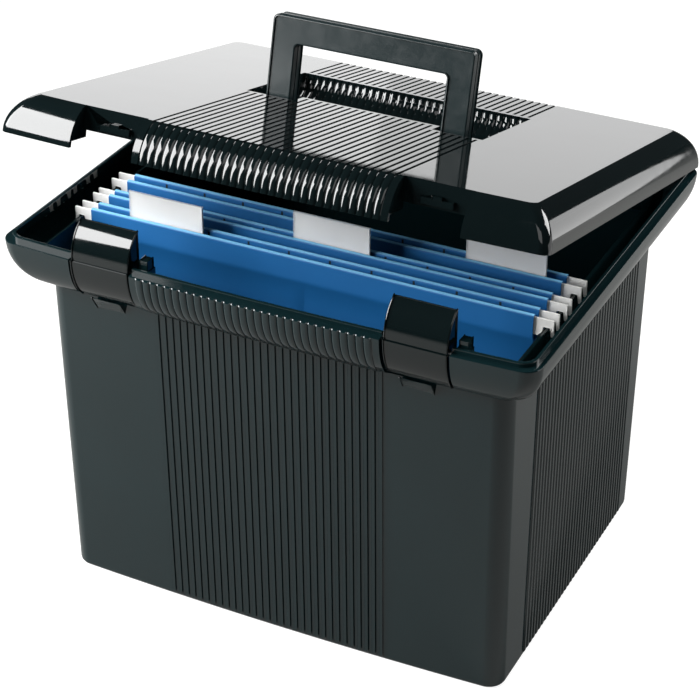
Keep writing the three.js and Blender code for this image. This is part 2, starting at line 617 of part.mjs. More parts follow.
// A hanger bar with a hook at each end, whose notch drops over the rail.
function makeHanger() {
  const half = RAIL_X + HANGER_END;
  const notch = across(RAIL_X, HOOK_NOTCH / 2);
  const notchTop = RAIL_Z + TOUCH;
  const tipZ = notchTop - HOOK_TIP_DROP;
  const footZ = BAR_TOP_Z - HANGER_H;
  const right = [
    [JACKET_W / 2 - BAR_IN_CARD, footZ],
    [notch[0] - HOOK_RUN_IN, footZ],
    [notch[0], tipZ + HOOK_THROAT],
    [notch[0] + HOOK_SLANT, notchTop],
    [notch[1] - HOOK_SLANT, notchTop],
    [notch[1], tipZ],
    [half, tipZ],
    [half, BAR_TOP_Z],
  ];
  const left = right.map(([x, z]) => [-x, z]).reverse();
  return prismY(shapeOf([...right, ...left]), across(0, HANGER_T / 2));
}

// The card jacket of one folder: two panels joined at the bottom, each folded round its hanger bar.
function makeJacket([frontY, rearY]) {
  const sleeveIn = HANGER_T / 2 + TOUCH;
  const sleeveOut = sleeveIn + JACKET_T;
  const top = BAR_TOP_Z + TOUCH + JACKET_T;
  const sleeveFoot = BAR_TOP_Z - HANGER_H - TOUCH - JACKET_T;
  const bottom = top - JACKET_H;
  const middle = (frontY + rearY) / 2;
  const fold = JACKET_FOLD_HALF;
  const sleeve = (y) => [
    [y + JACKET_T / 2, sleeveFoot - SLEEVE_TAPER],
    [y + sleeveOut, sleeveFoot],
    [y + sleeveOut, top],
    [y - sleeveOut, top],
    [y - sleeveOut, sleeveFoot],
    [y - JACKET_T / 2, sleeveFoot - SLEEVE_TAPER],
  ];
  const shape = shapeOf([
    [middle - fold, bottom],
    [middle + fold, bottom],
    ...sleeve(rearY),
    [middle + fold - JACKET_T, bottom + JACKET_T],
    [middle - fold + JACKET_T, bottom + JACKET_T],
    ...sleeve(frontY),
  ]);
  for (const y of [frontY, rearY]) {
    const hole = [
      [y - sleeveIn, sleeveFoot + JACKET_T],
      [y - sleeveIn, top - JACKET_T],
      [y + sleeveIn, top - JACKET_T],
      [y + sleeveIn, sleeveFoot + JACKET_T],
    ];
    shape.holes.push(new THREE.Path(hole.map(([u, v]) => new THREE.Vector2(u, v))));
  }
  return prismX(shape, across(0, JACKET_W / 2));
}

// A clear tab holder, open at its ends, with its printed card inside.
function makeTab(x, barY) {
  const frontY = barY + HANGER_T / 2 + 2 * TOUCH + JACKET_T;
  const labelY = frontY + TAB_T / 2;
  const labelZ = TAB_TOP_Z - TAB_SKIN - TOUCH - LABEL_H;
  const pocketY = across(labelY, TAB_T / 2 - TAB_SKIN);
  const labelX = across(x, TAB_W / 2 - LABEL_END_GAP);
  const holder = box(across(x, TAB_W / 2), [frontY, frontY + TAB_T], [TAB_TOP_Z - TAB_H, TAB_TOP_Z]);
  const pocket = box(across(x, TAB_W / 2 + PAST), pocketY, [labelZ - TOUCH, TAB_TOP_Z - TAB_SKIN]);
  const card = box(labelX, across(labelY, LABEL_T / 2), [labelZ, labelZ + LABEL_H]);
  return { holder: holder.subtract(pocket), card };
}

// ---- Assembly --------------------------------------------------------------------------------------

const part = new THREE.Group();
part.add(mesh("tub", makeTub(), plastic()));

const lidGroup = new THREE.Group();
lidGroup.position.set(0, HINGE_Y, HINGE_Z);
lidGroup.rotation.x = THREE.MathUtils.degToRad(-LID_OPEN_DEG);
const lidBody = mesh("lid", makeLid(), plastic());
lidBody.position.set(0, -HINGE_Y, -HINGE_Z);
lidGroup.add(lidBody);
part.add(lidGroup);

const handleGroup = new THREE.Group();
handleGroup.position.set(0, HANDLE_PIVOT_Y - HINGE_Y, lidTopZ - HANDLE_PIVOT_DROP - HINGE_Z);
handleGroup.add(mesh("handle", makeHandle(), plastic()));
handleGroup.add(mesh("handle_pin_left", handlePin(-1), steel()));
handleGroup.add(mesh("handle_pin_right", handlePin(1), steel()));
lidGroup.add(handleGroup);

for (const [name, side] of [
  ["left", -1],
  ["right", 1],
]) {
  const latch = mesh(`latch_${name}`, makeLatch(), plastic());
  const latchPin = mesh(`latch_pin_${name}`, rod(LATCH_PIN_R, across(0, notchHalf + LIP_T), 0, 0), steel());
  for (const piece of [latch, latchPin]) {
    piece.position.set(side * LATCH_X, rimFront(LATCH_X) + LATCH_PIVOT_IN, LATCH_PIVOT_Z);
    part.add(piece);
  }
  const pinHalf = KNUCKLE_L / 2 + RUN + EAR_L;
  const hingePin = mesh(`hinge_pin_${name}`, rod(HINGE_PIN_R, across(0, pinHalf), 0, 0), steel());
  hingePin.position.set(side * HINGE_X, HINGE_Y, HINGE_Z);
  part.add(hingePin);
}

for (const { name, bars, tabX } of FOLDERS) {
  part.add(mesh(`jacket_${name}`, makeJacket(bars), bluePaper()));
  bars.forEach((y, i) => {
    const hanger = mesh(`hanger_${name}_${i + 1}`, makeHanger(), coatedBar());
    hanger.position.y = y;
    part.add(hanger);
  });
  const { holder, card } = makeTab(tabX, bars[0]);
  part.add(mesh(`tab_${name}`, holder, clearPlastic()));
  part.add(mesh(`label_${name}`, card, whiteCard()));
}

// The origin is the middle of the whole object's outline on the floor.
part.position.y = (RIM_D / 2 + FRONT_BOW + RIB_H - HINGE_Y - BARREL_R) / 2;

export default part;
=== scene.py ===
"""Looks of a portable hanging-file tote: glossy moulded shell, snap latches, bail handle and card folders.

Every class keeps its sizes in millimetres, in the drawing frame of the part: x to the right, y to the back
from the middle of the tub, z up from the floor. Drawing.place turns them into metres in the row frame.
"""

import json
import logging
import math
from collections.abc import Sequence
from dataclasses import dataclass, field
from enum import Enum

import bmesh
import bpy
import numpy as np
from mathutils import Matrix, Vector


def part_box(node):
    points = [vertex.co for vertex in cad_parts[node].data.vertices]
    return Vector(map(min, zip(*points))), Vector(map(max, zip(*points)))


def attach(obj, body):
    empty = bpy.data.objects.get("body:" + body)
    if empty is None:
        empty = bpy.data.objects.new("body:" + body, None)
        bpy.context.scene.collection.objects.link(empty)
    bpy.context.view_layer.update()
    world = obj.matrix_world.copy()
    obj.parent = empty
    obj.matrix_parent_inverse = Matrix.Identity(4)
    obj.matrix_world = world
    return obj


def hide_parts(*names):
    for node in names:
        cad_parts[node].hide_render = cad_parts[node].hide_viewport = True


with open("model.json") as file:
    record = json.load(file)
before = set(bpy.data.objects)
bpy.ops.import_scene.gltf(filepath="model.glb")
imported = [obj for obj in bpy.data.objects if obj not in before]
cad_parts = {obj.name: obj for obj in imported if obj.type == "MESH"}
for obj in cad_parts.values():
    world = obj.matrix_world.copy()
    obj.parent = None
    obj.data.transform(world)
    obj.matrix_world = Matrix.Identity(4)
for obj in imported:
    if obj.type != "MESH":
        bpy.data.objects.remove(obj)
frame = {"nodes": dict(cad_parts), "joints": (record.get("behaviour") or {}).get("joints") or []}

MM = 0.001  # metres in a millimetre
FULL_TURN = 2 * math.pi
QUARTER = math.pi / 2
REACH = 1.0  # mm that a cutter runs past what it cuts
STRAY = 0.002  # mm within which two points are one
RIB_PITCH = 5.0  # mm from rib to rib, on the tub and the lid
log = logging.getLogger("tote")

Solid = bpy.types.Object
Material = bpy.types.Material
NodeTree = bpy.types.NodeTree
Socket = bpy.types.NodeSocket
Node = bpy.types.Node
Span = tuple[float, float]
Outline = np.ndarray
Corner = tuple[float, float, float]


class Join(Enum):
    """How one solid is combined with another."""

    ADD = "UNION"
    CUT = "DIFFERENCE"
    KEEP = "INTERSECT"


class Side(Enum):
    """A side of a plan outline, in the order in which the outline runs."""

    FRONT = 0
    RIGHT = 1
    REAR = 2
    LEFT = 3


class Ridge(Enum):
    """The shape of a rib across its width."""

    FLAT = "flat crest between sloping flanks"
    ROUND = "half round"


class Axis(Enum):
    """The axis that a prism runs along, with the columns of its outline and its length."""

    X = (1, 2, 0)
    Y = (0, 2, 1)


# ---- Solids ---------------------------------------------------------------------------------------------


def make_object(name: str, points: np.ndarray, faces: Sequence[Sequence[int]]) -> Solid:
    """Makes a mesh object.

    Args:
        name: Its name.
        points: Its vertices, in millimetres.
        faces: The vertex numbers of each face, anticlockwise from outside.

    Returns:
        The object, linked to the scene.
    """
    mesh = bpy.data.meshes.new(name)
    mesh.from_pydata(points.tolist(), [], faces)
    obj = bpy.data.objects.new(name, mesh)
    bpy.context.scene.collection.objects.link(obj)
    return obj


def loft(name: str, rings: Sequence[np.ndarray]) -> Solid:
    """Joins closed rings of equally many points into one closed solid.

    Args:
        name: Name of the object.
        rings: Rings of points, each anticlockwise seen against the way the rings run.

    Returns:
        The solid, its first and last ring closed by one face each, facing outwards.
    """
    count = len(rings[0])
    faces: list[list[int]] = [list(range(count))[::-1]]
    for low in range(len(rings) - 1):
        for i in range(count):
            j = (i + 1) % count
            faces.append([low * count + i, low * count + j, (low + 1) * count + j, (low + 1) * count + i])
    faces.append(list(range((len(rings) - 1) * count, len(rings) * count)))
    obj = make_object(name, np.concatenate(rings), faces)
    face_outwards(obj)
    return obj


def face_outwards(obj: Solid) -> None:
    """Turns every face of a closed mesh outwards.

    Args:
        obj: The solid.
    """
    shaped = bmesh.new()
    shaped.from_mesh(obj.data)
    bmesh.ops.recalc_face_normals(shaped, faces=shaped.faces)
    shaped.to_mesh(obj.data)
    shaped.free()


def combine(base: Solid, other: Solid, how: Join) -> Solid:
    """Adds, cuts or keeps one solid with another, and removes the other.

    Args:
        base: The solid that is changed.
        other: The solid that it is combined with.
        how: What is done.

    Returns:
        The changed base.
    """
    modifier = base.modifiers.new(how.name, "BOOLEAN")
    modifier.solver = "MANIFOLD"
    modifier.operation = how.value
    modifier.object = other
    apply_modifiers(base)
    bpy.data.objects.remove(other)
    return base


def smooth(obj: Solid, sharp: float) -> None:
    """Merges stray points and shades a solid smooth, with flat faces kept flat by their area.

    Args:
        obj: The solid, in millimetres.
        sharp: Edges steeper than this many degrees stay crisp.
    """
    shaped = bmesh.new()
    shaped.from_mesh(obj.data)
    bmesh.ops.remove_doubles(shaped, verts=shaped.verts, dist=STRAY)
    bmesh.ops.dissolve_degenerate(shaped, edges=shaped.edges, dist=STRAY)
    bmesh.ops.dissolve_limit(shaped, angle_limit=math.radians(0.05), verts=shaped.verts, edges=shaped.edges)
    shaped.to_mesh(obj.data)
    shaped.free()
    obj.data.shade_smooth()
    obj.data.set_sharp_from_angle(angle=math.radians(sharp))
    weighted = obj.modifiers.new("weighted", "WEIGHTED_NORMAL")
    weighted.keep_sharp = True
    weighted.weight = 80
    apply_modifiers(obj)


def apply_modifiers(obj: Solid) -> None:
    """Bakes an object's modifiers into its mesh.

    Args:
        obj: The solid.
    """
    graph = bpy.context.evaluated_depsgraph_get()
    made = bpy.data.meshes.new_from_object(obj.evaluated_get(graph))
    obj.modifiers.clear()
    obj.data = made


def inset(outline: Outline, distance: float) -> Outline:
    """Moves the edges of a closed anticlockwise outline inwards by a distance.

    Args:
        outline: Its points, anticlockwise.
        distance: How far the edges move, in millimetres.

    Returns:
        The moved outline.
    """
    before = outline - np.roll(outline, 1, 0)
    after = np.roll(outline, -1, 0) - outline
    before /= np.linalg.norm(before, axis=1)[:, None]
    after /= np.linalg.norm(after, axis=1)[:, None]
    normal_before = np.stack([-before[:, 1], before[:, 0]], 1)
    normal_after = np.stack([-after[:, 1], after[:, 0]], 1)
    share = 1 + (normal_before * normal_after).sum(1)
    return outline + distance * (normal_before + normal_after) / share[:, None]


def rounded(corners: Sequence[Corner], steps: int = 6) -> Outline:
    """Turns (u, v, radius) corners into an outline with an arc at each corner that has a radius.

    Args:
        corners: The corners, anticlockwise.
        steps: Steps of each arc.

    Returns:
        The points of the outline.
    """
    points: list[np.ndarray] = []
    for i, (u, v, radius) in enumerate(corners):
        tip = np.array((u, v))
        if radius <= 0:
            points.append(tip)
            continue
        to_last = np.array(corners[i - 1][:2]) - tip
        to_next = np.array(corners[(i + 1) % len(corners)][:2]) - tip
        to_last /= np.linalg.norm(to_last)
        to_next /= np.linalg.norm(to_next)
        half = math.acos(float(np.clip(to_last @ to_next, -1, 1))) / 2
        middle = (to_last + to_next) / np.linalg.norm(to_last + to_next)
        centre = tip + middle * radius / math.sin(half)
        start = tip + to_last * radius / math.tan(half) - centre
        end = tip + to_next * radius / math.tan(half) - centre
        turn = math.atan2(start[0] * end[1] - start[1] * end[0], float(start @ end))
        for k in range(steps + 1):
            a = turn * k / steps
            points.append(centre + np.array((start[0] * math.cos(a) - start[1] * math.sin(a),
                                             start[0] * math.sin(a) + start[1] * math.cos(a))))
    return np.array(points)


def anticlockwise(outline: Outline) -> Outline:
    """The same outline, run anticlockwise.

    Args:
        outline: The points, run either way.

    Returns:
        The outline, run anticlockwise.
    """
    u, v = outline[:, 0], outline[:, 1]
    area = (u * np.roll(v, -1) - v * np.roll(u, -1)).sum()
    return outline if area > 0 else outline[::-1]


def resampled(outline: Outline, longest: float) -> Outline:
    """Adds points along the edges of a closed outline, so that none is longer than a length.

    Args:
        outline: Its points, anticlockwise.
        longest: The longest edge allowed.

    Returns:
        The outline with its added points.
    """
    points: list[np.ndarray] = []
    for start, end in zip(outline, np.roll(outline, -1, 0)):
        steps = max(1, math.ceil(float(np.linalg.norm(end - start)) / longest))
        points += [start + (end - start) * k / steps for k in range(steps)]
    return np.array(points)


def edge_stations(span: Span, radius: float, steps: int = 4) -> list[tuple[float, float]]:
    """Stations (place, inset) along a prism whose end edges are rounded.

    Args:
        span: Where the prism starts and ends.
        radius: Radius of the edges.
        steps: Steps of each rounded edge.

    Returns:
        The stations in order.
    """
    if radius <= 0:
        return [(span[0], 0.0), (span[1], 0.0)]
    turns = [QUARTER * k / steps for k in range(steps + 1)]
    start = [(span[0] + radius * (1 - math.sin(a)), radius * (1 - math.cos(a))) for a in reversed(turns)]
    end = [(span[1] - radius * (1 - math.sin(a)), radius * (1 - math.cos(a))) for a in turns]
    return start[::-1] + end[::-1]


def prism(name: str, outline: Outline, stations: Sequence[tuple[float, float]],
          axis: Axis) -> Solid:
    """Extrudes an outline along an axis through stations that each inset it.

    Args:
        name: Name of the object.
        outline: Its points, in the two axes across the prism.
        stations: Places along the axis with the inset at each.
        axis: The axis.

    Returns:
        The solid.
    """
    flat = anticlockwise(outline)
    rings = []
    for place, depth in stations:
        ring = np.empty((len(flat), 3))
        ring[:, axis.value[:2]] = inset(flat, depth) if depth else flat
        ring[:, axis.value[2]] = place
        rings.append(ring)
    return loft(name, rings)


def block(name: str, x: Span, y: Span, z: Span, edge: float = 0.0) -> Solid:
    """A block, its edges rounded where an edge radius is given."""
    corners = [(y[0], z[0], edge), (y[1], z[0], edge), (y[1], z[1], edge), (y[0], z[1], edge)]
    return prism(name, rounded(corners, 3), edge_stations(x, edge, 3), Axis.X)


def rod(name: str, radius: float, x: Span, y: float, z: float, sides: int = 40) -> Solid:
    """A round rod along X.

    Args:
        name: Its name.
        radius: Its radius.
        x: Its span along X, in millimetres.
        y: Its place across.
        z: Its height.
        sides: Number of flat sides.

    Returns:
        The solid.
    """
    turns = np.arange(sides) * FULL_TURN / sides
    circle = np.stack([y + radius * np.cos(turns), z + radius * np.sin(turns)], 1)
    return prism(name, circle, [(x[0], 0.0), (x[1], 0.0)], Axis.X)


def across(middle: float, half: float) -> Span:
    """The span from half before a middle to half after it."""
    return middle - half, middle + half


# ---- Ribbed plans ---------------------------------------------------------------------------------------


@dataclass(frozen=True)
class RibRun:
    """A run of upright ribs on one side: how many, and where their middle is."""

    count: int
    middle: float = 0.0


@dataclass(frozen=True)
class Level:
    """One height of a lofted plan.

    proud is how far the ribs of each side stand out, and cut how deep the valleys between them go in.
    """

    z: float
    width: float
    depth: float
    radius: float
    proud: tuple[float, float, float, float] = (0.0, 0.0, 0.0, 0.0)
    cut: float = 0.0
    ridge: Ridge = Ridge.FLAT


@dataclass
class Plan:
    """A rounded rectangle with runs of ribs and a bowed front, which can be raised through levels."""

    core: tuple[float, float]
    runs: dict[Side, RibRun]
    bow: float = 5.0
    bow_half: float = 176.5
    bow_depth: float = 235.0
    pitch: float = RIB_PITCH
    foot: float = 1.6
    crest: float = 0.95
    rib_steps: tuple[float, ...] = (-2.3, -1.9, -1.6, -1.4, -1.15, -0.95, 0.0,
                                    0.95, 1.15, 1.4, 1.6, 1.9, 2.3, 2.5)
    plain_step: float = 7.0
    corner_steps: int = 12
    samples: dict[str, np.ndarray] = field(default_factory=dict)

    def __post_init__(self) -> None:
        """Lays out the samples of the outline once, for every level to share."""
        rows: list[tuple[float, ...]] = []
        normals = {Side.FRONT: (0, -1), Side.RIGHT: (1, 0), Side.REAR: (0, 1), Side.LEFT: (-1, 0)}
        for side, normal in normals.items():
            half = self.core[0] if side in (Side.FRONT, Side.REAR) else self.core[1]
            along = (-normal[1], normal[0])
            for s, flat, whole, ribbed in self.side_samples(side, half):
                rows.append((along[0] * s + normal[0] * self.core[0], along[1] * s + normal[1] * self.core[1],
                             *normal, flat, whole, ribbed, side.value))
            corner = [(along[k] + normal[k]) * self.core[k] for k in (0, 1)]
            for step in range(1, self.corner_steps):
                a = QUARTER * step / self.corner_steps
                turned = [normal[k] * math.cos(a) + along[k] * math.sin(a) for k in (0, 1)]
                rows.append((*corner, *turned, 0.0, 1.0, 0.0, side.value))
        table = np.array(rows)
        self.samples = {"core": table[:, 0:2], "normal": table[:, 2:4], "flat": table[:, 4],
                        "round": table[:, 5], "ribbed": table[:, 6], "side": table[:, 7].astype(int)}

    def side_samples(self, side: Side, half: float) -> list[tuple[float, float, float, float]]:
        """Samples along one side: place, flat rib height, round rib height and whether it is ribbed.

        Args:
            side: The side.
            half: Half the length of its straight part.

        Returns:
            The samples in order.
        """
        run = self.runs.get(side)
        if run is None:
            steps = math.ceil(2 * half / self.plain_step)
            return [(-half + 2 * half * i / steps, 0.0, 1.0, 0.0) for i in range(steps + 1)]
        sign = 1 if side in (Side.FRONT, Side.RIGHT) else -1
        start = sign * run.middle - run.count * self.pitch / 2
        end = start + run.count * self.pitch
        before = math.ceil((start + half) / self.plain_step)
        made = [(-half + (start + half) * i / before, 0.0, 1.0, 0.0) for i in range(before)]
        made.append((start - 0.01, 0.0, 1.0, 0.0))
        made.append((start, 0.0, 0.0, 1.0))
        for rib in range(run.count):
            centre = start + (rib + 0.5) * self.pitch
            for offset in self.rib_steps:
                flat = float(np.clip((self.foot - abs(offset)) / (self.foot - self.crest), 0, 1))
                whole = math.sqrt(max(0.0, 1 - (2 * offset / self.pitch) ** 2))
                made.append((centre + offset, flat * flat * (3 - 2 * flat), whole, 1.0))
        made.append((end + 0.01, 0.0, 1.0, 0.0))
        after = math.ceil((half - end) / self.plain_step)
        made += [(end + (half - end) * (i + 1) / after, 0.0, 1.0, 0.0) for i in range(after)]
        return made

    def kept(self, sides: tuple[Side, Side]) -> Span | None:
        """The stretch that holds the ribs of a pair of sides, which keeps its place at every level.

        Args:
            sides: The two sides that face each other.

        Returns:
            The stretch, or None where the sides have no ribs.
        """
        run = self.runs.get(sides[0]) or self.runs.get(sides[1])
        if run is None:
            return None
        return across(run.middle, run.count * self.pitch / 2)

    def front_bow(self, x: np.ndarray | float) -> np.ndarray | float:
        """How far the front stands out at x."""
        return self.bow * np.maximum(0, 1 - (x / self.bow_half) ** 2)

    def ring(self, level: Level) -> np.ndarray:
        """The outline at one level.

        Args:
            level: Its height, size and ribs.

        Returns:
            The points of the ring, anticlockwise from above.
        """
        s = self.samples
        x = stretch(s["core"][:, 0], self.core[0], level.width / 2 - level.radius,
                    self.kept((Side.FRONT, Side.REAR)))
        y = stretch(s["core"][:, 1], self.core[1], level.depth / 2 - level.radius,
                    self.kept((Side.RIGHT, Side.LEFT)))
        shape = s["flat"] if level.ridge is Ridge.FLAT else s["round"] * s["ribbed"]
        out = level.radius + np.array(level.proud)[s["side"]] * shape
        out = out - level.cut * (1 - s["round"]) * (s["side"] == Side.FRONT.value) * s["ribbed"]
        x = x + s["normal"][:, 0] * out
        y = y + s["normal"][:, 1] * out
        y = y - self.front_bow(x) * np.clip(-4 * y / self.bow_depth, 0, 1)
        return np.stack([x, y, np.full_like(x, level.z)], 1)


def stretch(values: np.ndarray, old: float, new: float, kept: Span | None) -> np.ndarray:
    """Moves values from a core of one half length to another, leaving the kept stretch where it is.

    Args:
        values: The values that are moved.
        old: Half length of the core they are on.
        new: Half length of the core they go to.
        kept: The stretch that keeps its place, if any.

    Returns:
        The moved values.
    """
    if kept is None:
        return values * new / old
    high = kept[1] + (values - kept[1]) * (new - kept[1]) / (old - kept[1])
    low = kept[0] + (values - kept[0]) * (new + kept[0]) / (old + kept[0])
    return np.where(values > kept[1], high, np.where(values < kept[0], low, values))


# ---- Finishes -------------------------------------------------------------------------------------------


def linear(colour: str) -> tuple[float, float, float, float]:
    """Turns an sRGB hex colour such as "#1c2928" into linear red, green, blue and alpha.

    Args:
        colour: The hex colour.

    Returns:
        Linear red, green, blue and alpha.
    """
    parts = [int(colour[i:i + 2], 16) / 255 for i in (1, 3, 5)]
    lin = [c / 12.92 if c <= 0.04045 else ((c + 0.055) / 1.055) ** 2.4 for c in parts]
    return lin[0], lin[1], lin[2], 1.0


def add_node(tree: NodeTree, kind: str, settings: dict[str, object] | None = None,
             links: dict[str, Socket] | None = None, **properties: object) -> Node:
    """Adds one shader node.

    Args:
        tree: The node tree.
        kind: The node's type.
        settings: Values of input sockets by name.
        links: Sockets that feed input sockets, by name.
        **properties: Properties of the node itself.

    Returns:
        The node.
    """
    node = tree.nodes.new(kind)
    for key, value in properties.items():
        setattr(node, key, value)
    for key, value in (settings or {}).items():
        node.inputs[key].default_value = value
    for key, socket in (links or {}).items():
        tree.links.new(socket, node.inputs[key])
    return node


def per_mm(size: float) -> float:
    """The scale of a texture in metres whose pattern has a size in millimetres."""
    return 1 / (size * MM)


def new_material(name: str) -> tuple[Material, NodeTree, Socket]:
    """An empty node material, its tree and the object coordinates that its patterns use.

    Args:
        name: Its name.

    Returns:
        The material, its tree and its coordinates socket.
    """
    material = bpy.data.materials.new(name)
    material.use_nodes = True
    tree = material.node_tree
    tree.nodes.clear()
    return material, tree, add_node(tree, "ShaderNodeTexCoord").outputs["Object"]


def close_material(tree: NodeTree, shader: Node) -> None:
    """Feeds a shader to the material's output."""
    add_node(tree, "ShaderNodeOutputMaterial", links={"Surface": shader.outputs[0]})


@dataclass(frozen=True)
class MouldedPlastic:
    """Injection-moulded polystyrene from a polished or a fine-spark tool.

    A polished tool gives mirror-like reflections that waver a little where the wall shrank as it cooled, with
    faint handling marks that only roughen the shine. A spark-eroded tool gives a soft satin sheen.
    """

    name: str
    colour: str
    shade: str
    roughness: float
    mark_roughness: float
    cloud_mm: float = 60.0
    mark_mm: float = 14.0
    wave_mm: float = 38.0
    wave_height: float = 0.05
    grain_mm: float = 0.9  # real grain is about 0.1 mm; drawn coarser so that it shows at all
    grain_height: float = 0.0015
    ior: float = 1.54

    def build(self) -> Material:
        """Makes the material.

        Returns:
            The material.
        """
        material, tree, where = new_material(self.name)
        cloud = add_node(tree, "ShaderNodeTexNoise", {"Scale": per_mm(self.cloud_mm), "Detail": 3.0},
                         {"Vector": where})
        colour = add_node(tree, "ShaderNodeMix", {6: linear(self.colour), 7: linear(self.shade)},
                          {"Factor": cloud.outputs["Fac"]}, data_type="RGBA")
        marks = add_node(tree, "ShaderNodeTexNoise",
                         {"Scale": per_mm(self.mark_mm), "Detail": 8.0, "Roughness": 0.72}, {"Vector": where})
        spread = add_node(tree, "ShaderNodeMapRange",
                          {"From Min": 0.45, "From Max": 0.75, "To Min": self.roughness,
                           "To Max": self.mark_roughness}, {"Value": marks.outputs["Fac"]})
        wave = add_node(tree, "ShaderNodeTexNoise", {"Scale": per_mm(self.wave_mm), "Detail": 1.0},
                        {"Vector": where})
        waved = add_node(tree, "ShaderNodeBump", {"Strength": 1.0, "Distance": self.wave_height * MM},
                         {"Height": wave.outputs["Fac"]})
        grain = add_node(tree, "ShaderNodeTexNoise", {"Scale": per_mm(self.grain_mm), "Detail": 2.0},
                         {"Vector": where})
        grained = add_node(tree, "ShaderNodeBump", {"Strength": 1.0, "Distance": self.grain_height * MM},
                           {"Height": grain.outputs["Fac"], "Normal": waved.outputs["Normal"]})
        shader = add_node(tree, "ShaderNodeBsdfPrincipled", {"IOR": self.ior},
                          {"Base Color": colour.outputs[2], "Roughness": spread.outputs["Result"],
                           "Normal": grained.outputs["Normal"]})
        close_material(tree, shader)
        return material


@dataclass(frozen=True)
class FolderCard:
    """Dyed manila card, about 0.3 mm thick.

    It has a matt fibrous surface. Along the top, where the card is folded round its bar, a thin pale line is
    a painted highlight, the light that the rounded fold catches.
    """

    name: str = "dyed_folder_card"
    colour: str = "#005f9f"
    shade: str = "#00548e"
    # painted highlight: pale colour of the line along the rounded top fold
    fold_highlight: str = "#7cc3ee"
    fold_z: float = 249.1  # mm above the floor
    fold_mm: float = 0.5
    fibre_mm: float = 1.4  # real fibres are about 0.05 mm across; drawn as the clumps that show
    fibre_height: float = 0.02
    cloud_mm: float = 55.0
    roughness: float = 0.62

    def build(self) -> Material:
        """Makes the material.

        Returns:
            The material.
        """
        material, tree, where = new_material(self.name)
        cloud = add_node(tree, "ShaderNodeTexNoise", {"Scale": per_mm(self.cloud_mm), "Detail": 4.0},
                         {"Vector": where})
        colour = add_node(tree, "ShaderNodeMix", {6: linear(self.colour), 7: linear(self.shade)},
                          {"Factor": cloud.outputs["Fac"]}, data_type="RGBA")
        fibre = add_node(tree, "ShaderNodeTexNoise", {"Scale": per_mm(self.fibre_mm), "Detail": 5.0},
                         {"Vector": where})
        bump = add_node(tree, "ShaderNodeBump", {"Strength": 1.0, "Distance": self.fibre_height * MM},
                        {"Height": fibre.outputs["Fac"]})
        height = add_node(tree, "ShaderNodeSeparateXYZ", links={"Vector": where})
        # painted highlight: a thin pale line along the top of the fold, where its rounding catches the light
        near = add_node(tree, "ShaderNodeMapRange", {"From Min": (self.fold_z - self.fold_mm) * MM,
                                                     "From Max": self.fold_z * MM},
                        {"Value": height.outputs["Z"]})
        folded = add_node(tree, "ShaderNodeMix", {7: linear(self.fold_highlight)},
                          {"Factor": near.outputs["Result"], 6: colour.outputs[2]}, data_type="RGBA")
        shader = add_node(tree, "ShaderNodeBsdfPrincipled", {"Roughness": self.roughness},
                          {"Base Color": folded.outputs[2], "Normal": bump.outputs["Normal"]})
        close_material(tree, shader)
        return material


@dataclass(frozen=True)
class Coated:
    """An even surface with a faint mottle: pale powder-coated strip and white card, and the painted shade of
    the tab slots.
    """

    name: str
    colour: str
    shade: str
    roughness: float
    mottle_mm: float
    height: float

    def build(self) -> Material:
        """Makes the material.

        Returns:
            The material.
        """
        material, tree, where = new_material(self.name)
        mottle = add_node(tree, "ShaderNodeTexNoise", {"Scale": per_mm(self.mottle_mm), "Detail": 4.0},
                          {"Vector": where})
        colour = add_node(tree, "ShaderNodeMix", {6: linear(self.colour), 7: linear(self.shade)},
                          {"Factor": mottle.outputs["Fac"]}, data_type="RGBA")
        bump = add_node(tree, "ShaderNodeBump", {"Strength": 1.0, "Distance": self.height * MM},
                        {"Height": mottle.outputs["Fac"]})
        shader = add_node(tree, "ShaderNodeBsdfPrincipled", {"Roughness": self.roughness},
                          {"Base Color": colour.outputs[2], "Normal": bump.outputs["Normal"]})
        close_material(tree, shader)
        return material


@dataclass(frozen=True)
class ClearVinyl:
    """Clear folded vinyl strip: mostly see-through, with a wet gloss and a faint haze from handling."""

    name: str = "clear_vinyl"
    colour: str = "#f4f6f8"
    haze_mm: float = 6.0
    alpha: float = 0.3
    roughness: Span = (0.08, 0.22)

    def build(self) -> Material:
        """Makes the material.

        Returns:
            The material.
        """
        material, tree, where = new_material(self.name)
        haze = add_node(tree, "ShaderNodeTexNoise", {"Scale": per_mm(self.haze_mm), "Detail": 3.0},
                        {"Vector": where})
        spread = add_node(tree, "ShaderNodeMapRange",
                          {"To Min": self.roughness[0], "To Max": self.roughness[1]},
                          {"Value": haze.outputs["Fac"]})
        shader = add_node(tree, "ShaderNodeBsdfPrincipled",
                          {"Base Color": linear(self.colour), "Alpha": self.alpha, "IOR": 1.5},
                          {"Roughness": spread.outputs["Result"]})
        close_material(tree, shader)
        return material


@dataclass(frozen=True)
class DrawnSteel:
    """Drawn steel wire: fine lines round the rod, and a bright but slightly blurred shine."""

    name: str = "drawn_steel_pin"
    colour: str = "#a9abad"
    line_mm: float = 0.6  # real drawing lines are about 0.05 mm; drawn coarser so that they show
    height: float = 0.004
    roughness: Span = (0.24, 0.4)

    def build(self) -> Material:
        """Makes the material.

        Returns:
            The material.
        """
        material, tree, where = new_material(self.name)
        squeezed = add_node(tree, "ShaderNodeMapping", {"Scale": (0.05, 1.0, 1.0)}, {"Vector": where})
        lines = add_node(tree, "ShaderNodeTexNoise", {"Scale": per_mm(self.line_mm), "Detail": 3.0},
                         {"Vector": squeezed.outputs["Vector"]})
        spread = add_node(tree, "ShaderNodeMapRange",
                          {"To Min": self.roughness[0], "To Max": self.roughness[1]},
                          {"Value": lines.outputs["Fac"]})
        bump = add_node(tree, "ShaderNodeBump", {"Strength": 1.0, "Distance": self.height * MM},
                        {"Height": lines.outputs["Fac"]})
        shader = add_node(tree, "ShaderNodeBsdfPrincipled",
                          {"Base Color": linear(self.colour), "Metallic": 1.0},
                          {"Roughness": spread.outputs["Result"], "Normal": bump.outputs["Normal"]})
        close_material(tree, shader)
        return material


